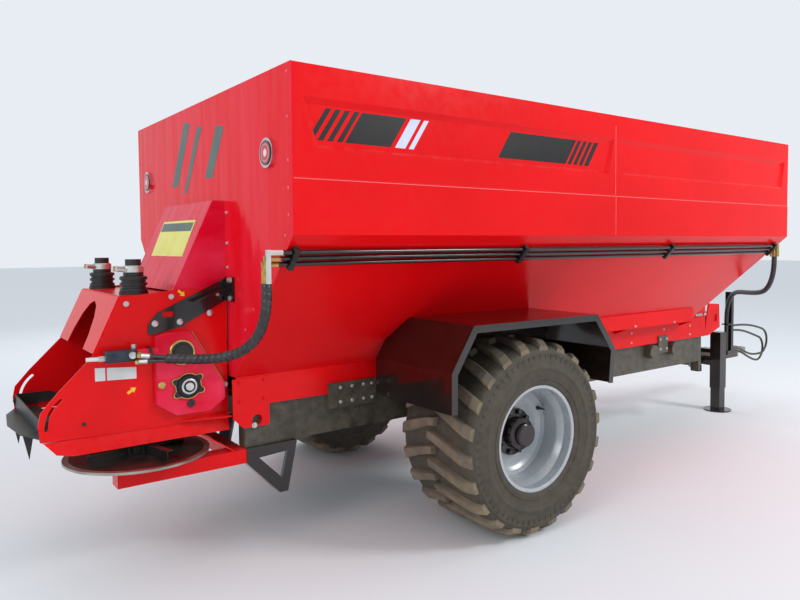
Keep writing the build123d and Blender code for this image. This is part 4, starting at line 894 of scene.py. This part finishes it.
# Hydraulic motor with its valve block, and the three hoses that come out of the wrap
valveSettings = {
    "block": ((-640, -497), (-511.3, -451.3), (1126, 1184)), "spread": 15, "hoseRadius": 9.5, "ferruleRadius": 13,
    "meet": (-393, -620, 1140), "way": (-0.7070, 0.7070, 0.0166), "reach": 150,
}


def boxPiece(name, x, y, z, finish, bevel, slot):
    corners = [at(x[0], y[0], z[0]), at(x[1], y[0], z[0]), at(x[1], y[1], z[0]), at(x[0], y[1], z[0])]
    verts, faces = prism(corners, (0, 0, 1), z[1] - z[0])
    return bevelled(addPiece(name, verts, faces, finish, "spreader", None, slot), bevel)


def makeValve(s):
    x, y, z = s["block"]
    block = boxPiece("valveBody", x, y, z, "valveBlock", 4, "black_iron")
    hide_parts("belt_motor")
    # the motor neck takes the red with a painted pink sheen
    straightTube("motorNeck", at(-500, -481, 1150), at(-396.5, -481, 1150), 30, "redWithPaintedSheen", slot="red_paint")
    straightTube("motorFlange", at(-440, -481, 1150), at(-428, -481, 1150), 42, "castIron", slot="black_iron")
    way = Vector(s["way"])
    side = way.cross(Vector((0, 0, 1))).normalized()
    start = at(*s["meet"])
    for i, (across, up) in enumerate(((-0.8, 0.75), (0.9, 0.2), (-0.5, -0.9))):
        shift = (side * across + Vector((0, 0, up))) * (s["spread"] / 1000)
        a, b = start + shift * 0.55 - way * 0.02, start + shift * 1.35 + way * (s["reach"] / 1000)
        straightTube("hoseEnd_%d" % i, a, b, s["hoseRadius"], "hoseRubber", slot="hose_rubber")
        cut = (0.56, 0.5, 0.64)[i]
        straightTube("ferrule_%d" % i, a.lerp(b, cut), a.lerp(b, cut + 0.26), s["ferruleRadius"], "zincPlate")
        straightTube("hoseNut_%d" % i, a.lerp(b, cut + 0.27), a.lerp(b, cut + 0.36), s["ferruleRadius"] + 3,
                     "brassFitting", around=6)
    straightTube("valveCap", at(-525, -511, 1158), at(-525, -533, 1158), 17, "zincPlate")
    straightTube("valveCapNut", at(-525, -533, 1158), at(-525, -541, 1158), 11, "zincPlate", around=6)
    straightTube("valvePort", at(-640, -482, 1148), at(-668, -482, 1148), 14, "zincPlate", around=6)
    straightTube("valveHose", at(-668, -482, 1148), at(-722, -478, 1150), 10, "whiteFilm", slot="hose_rubber")
    straightTube("valvePin", at(-505, -470, 1184), at(-505, -470, 1204), 12, "zincPlate")


makeValve(valveSettings)

# Deck motors and discs: ribbed boots and heads with two ports each, and a polished edge on each disc
deckSettings = {
    "x": -460, "y": 330, "deckTop": 1442, "discTops": {"right": 630, "left": 608},
    "ribs": [(0, 16), (66, 16), (66, 30), (58, 32), (58, 44), (66, 46), (66, 58), (58, 60), (58, 72), (66, 74),
             (66, 88), (60, 92), (0, 92)],
    "head": [(0, 112), (50, 112), (50, 140), (44, 146), (30, 146), (30, 176), (0, 177)],
    "edge": [(351, -11.8), (351.2, -0.3), (350, 0.8), (322, 0.8), (322, -0.5)],
    "ports": (("motorPortA", (-45, -20, 126), (-88, -30, 130), "zincPlate"),
              ("motorPortB", (-45, 25, 126), (-88, 35, 130), "brassFitting")),
}


def makeDeckMotors(s):
    for side in (-1, 1):
        foot = at(s["x"], side * s["y"], s["deckTop"])
        for name, profile, finish in (("motorRibs", s["ribs"], "castIron"), ("motorHead", s["head"], "zincPlate")):
            verts, faces = lathe(profile, foot, upward, 32)
            addPiece("%s_%d" % (name, side), verts, faces, finish, "spreader", 30, "black_iron")
        for name, a, b, finish in s["ports"]:
            straightTube("%s_%d" % (name, side), foot + Vector(a) / 1000, foot + Vector(b) / 1000, 13, finish, around=6)


def makeDiscEdges(s):
    for side, word in ((-1, "right"), (1, "left")):
        verts, faces = lathe(s["edge"], at(s["x"], side * s["y"], s["discTops"][word]), upward, 96)
        addPiece("discEdge_" + word, verts, faces, "bareSteel", "disc_" + word, 30, "disc_steel")


makeDeckMotors(deckSettings)
makeDiscEdges(deckSettings)

# Belt tensioner: the wall of its pocket and the threaded rods
tensionerSettings = {
    "wall": ((4290, 978), (4383, 978), (4484, 1109), (4350, 1109)), "wallThickness": 6, "z": 1022, "y": -512,
    "rear": 4215, "front": 4530, "nuts": (4250, 4292, 4400, 4440), "lugs": (4215, 4330, 4466),
}


def makeTensioner(s):
    verts, faces = prism([at(x, sillFace + 0.2, z) for x, z in s["wall"]], leftward, s["wallThickness"])
    addPiece("pocketWall", *joined([(verts, faces), (otherSide(verts), faces)]), "redPaint", "spreader", None,
             "red_paint")
    for side in (1, -1):
        y = side * s["y"]
        straightTube("tensionerRod_%d" % side, at(s["rear"], y, s["z"]), at(s["front"], y, s["z"]), 9, "zincPlate")
        for x in s["nuts"]:
            straightTube("tensionerNut_%d_%d" % (side, x), at(x, y, s["z"]), at(x + 16, y, s["z"]), 17, "zincPlate",
                         around=6)
        for x in s["lugs"]:
            straightTube("tensionerLug_%d_%d" % (side, x), at(x, y, s["z"]), at(x + 12, y, s["z"]), 24, "redPaint",
                         slot="red_paint", around=4)


makeTensioner(tensionerSettings)
print("hydraulics and tensioner added")


# Floor, world and lamps
stageSettings = {
    "floorSize": 60, "floorColour": "#F1F4F7", "worldColour": "#E4E9EF", "worldStrength": 0.88, "seenStrength": 1.04,
    # name, place, target, size in metres, power in watts
    "lamps": (("key", (4.5, -8.0, 6.5), (-0.3, -0.5, 1.0), 2.6, 430),
              ("rear", (-9.0, -3.5, 5.0), (-2.5, 0, 1.4), 4.0, 150),
              ("left", (2.0, 9.0, 6.0), (0, 0, 1.0), 5.0, 180)),
}


def makeStage(s):
    mesh = bpy.data.meshes.new("floor")
    size = s["floorSize"]
    mesh.from_pydata([(-size, -size, 0), (size, -size, 0), (size, size, 0), (-size, size, 0)], [], [(0, 1, 2, 3)])
    floor = show(bpy.data.objects.new("floor", mesh))
    material = bpy.data.materials.new("floorPaint")
    material.use_nodes = True
    shader = material.node_tree.nodes["Principled BSDF"]
    shader.inputs["Base Color"].default_value = linear(s["floorColour"])
    shader.inputs["Roughness"].default_value = 0.9
    shader.inputs["Specular IOR Level"].default_value = 0.1
    mesh.materials.append(material)
    world = bpy.data.worlds.new("studio")
    bpy.context.scene.world = world
    world.use_nodes = True
    backdrop = world.node_tree.nodes["Background"]
    backdrop.inputs["Color"].default_value = linear(s["worldColour"])
    # the camera sees the backdrop brighter than it lights the machine
    seen = addNode(world.node_tree, "ShaderNodeLightPath").outputs["Is Camera Ray"]
    strength = addNode(world.node_tree, "ShaderNodeMapRange",
                       {"Value": seen, "To Min": s["worldStrength"], "To Max": s["seenStrength"]})
    world.node_tree.links.new(strength.outputs["Result"], backdrop.inputs["Strength"])
    for name, place, target, size, energy in s["lamps"]:
        lamp = bpy.data.lights.new(name, "AREA")
        lamp.energy = energy
        lamp.size = size
        holder = show(bpy.data.objects.new(name, lamp))
        holder.location = place
        holder.rotation_euler = (Vector(target) - Vector(place)).to_track_quat("-Z", "Y").to_euler()


for part in (hexBolt, domeBolt, rivet):
    bpy.data.objects.remove(part)
makeStage(stageSettings)
bpy.context.scene.view_settings.view_transform = "Standard"
print("stage set")
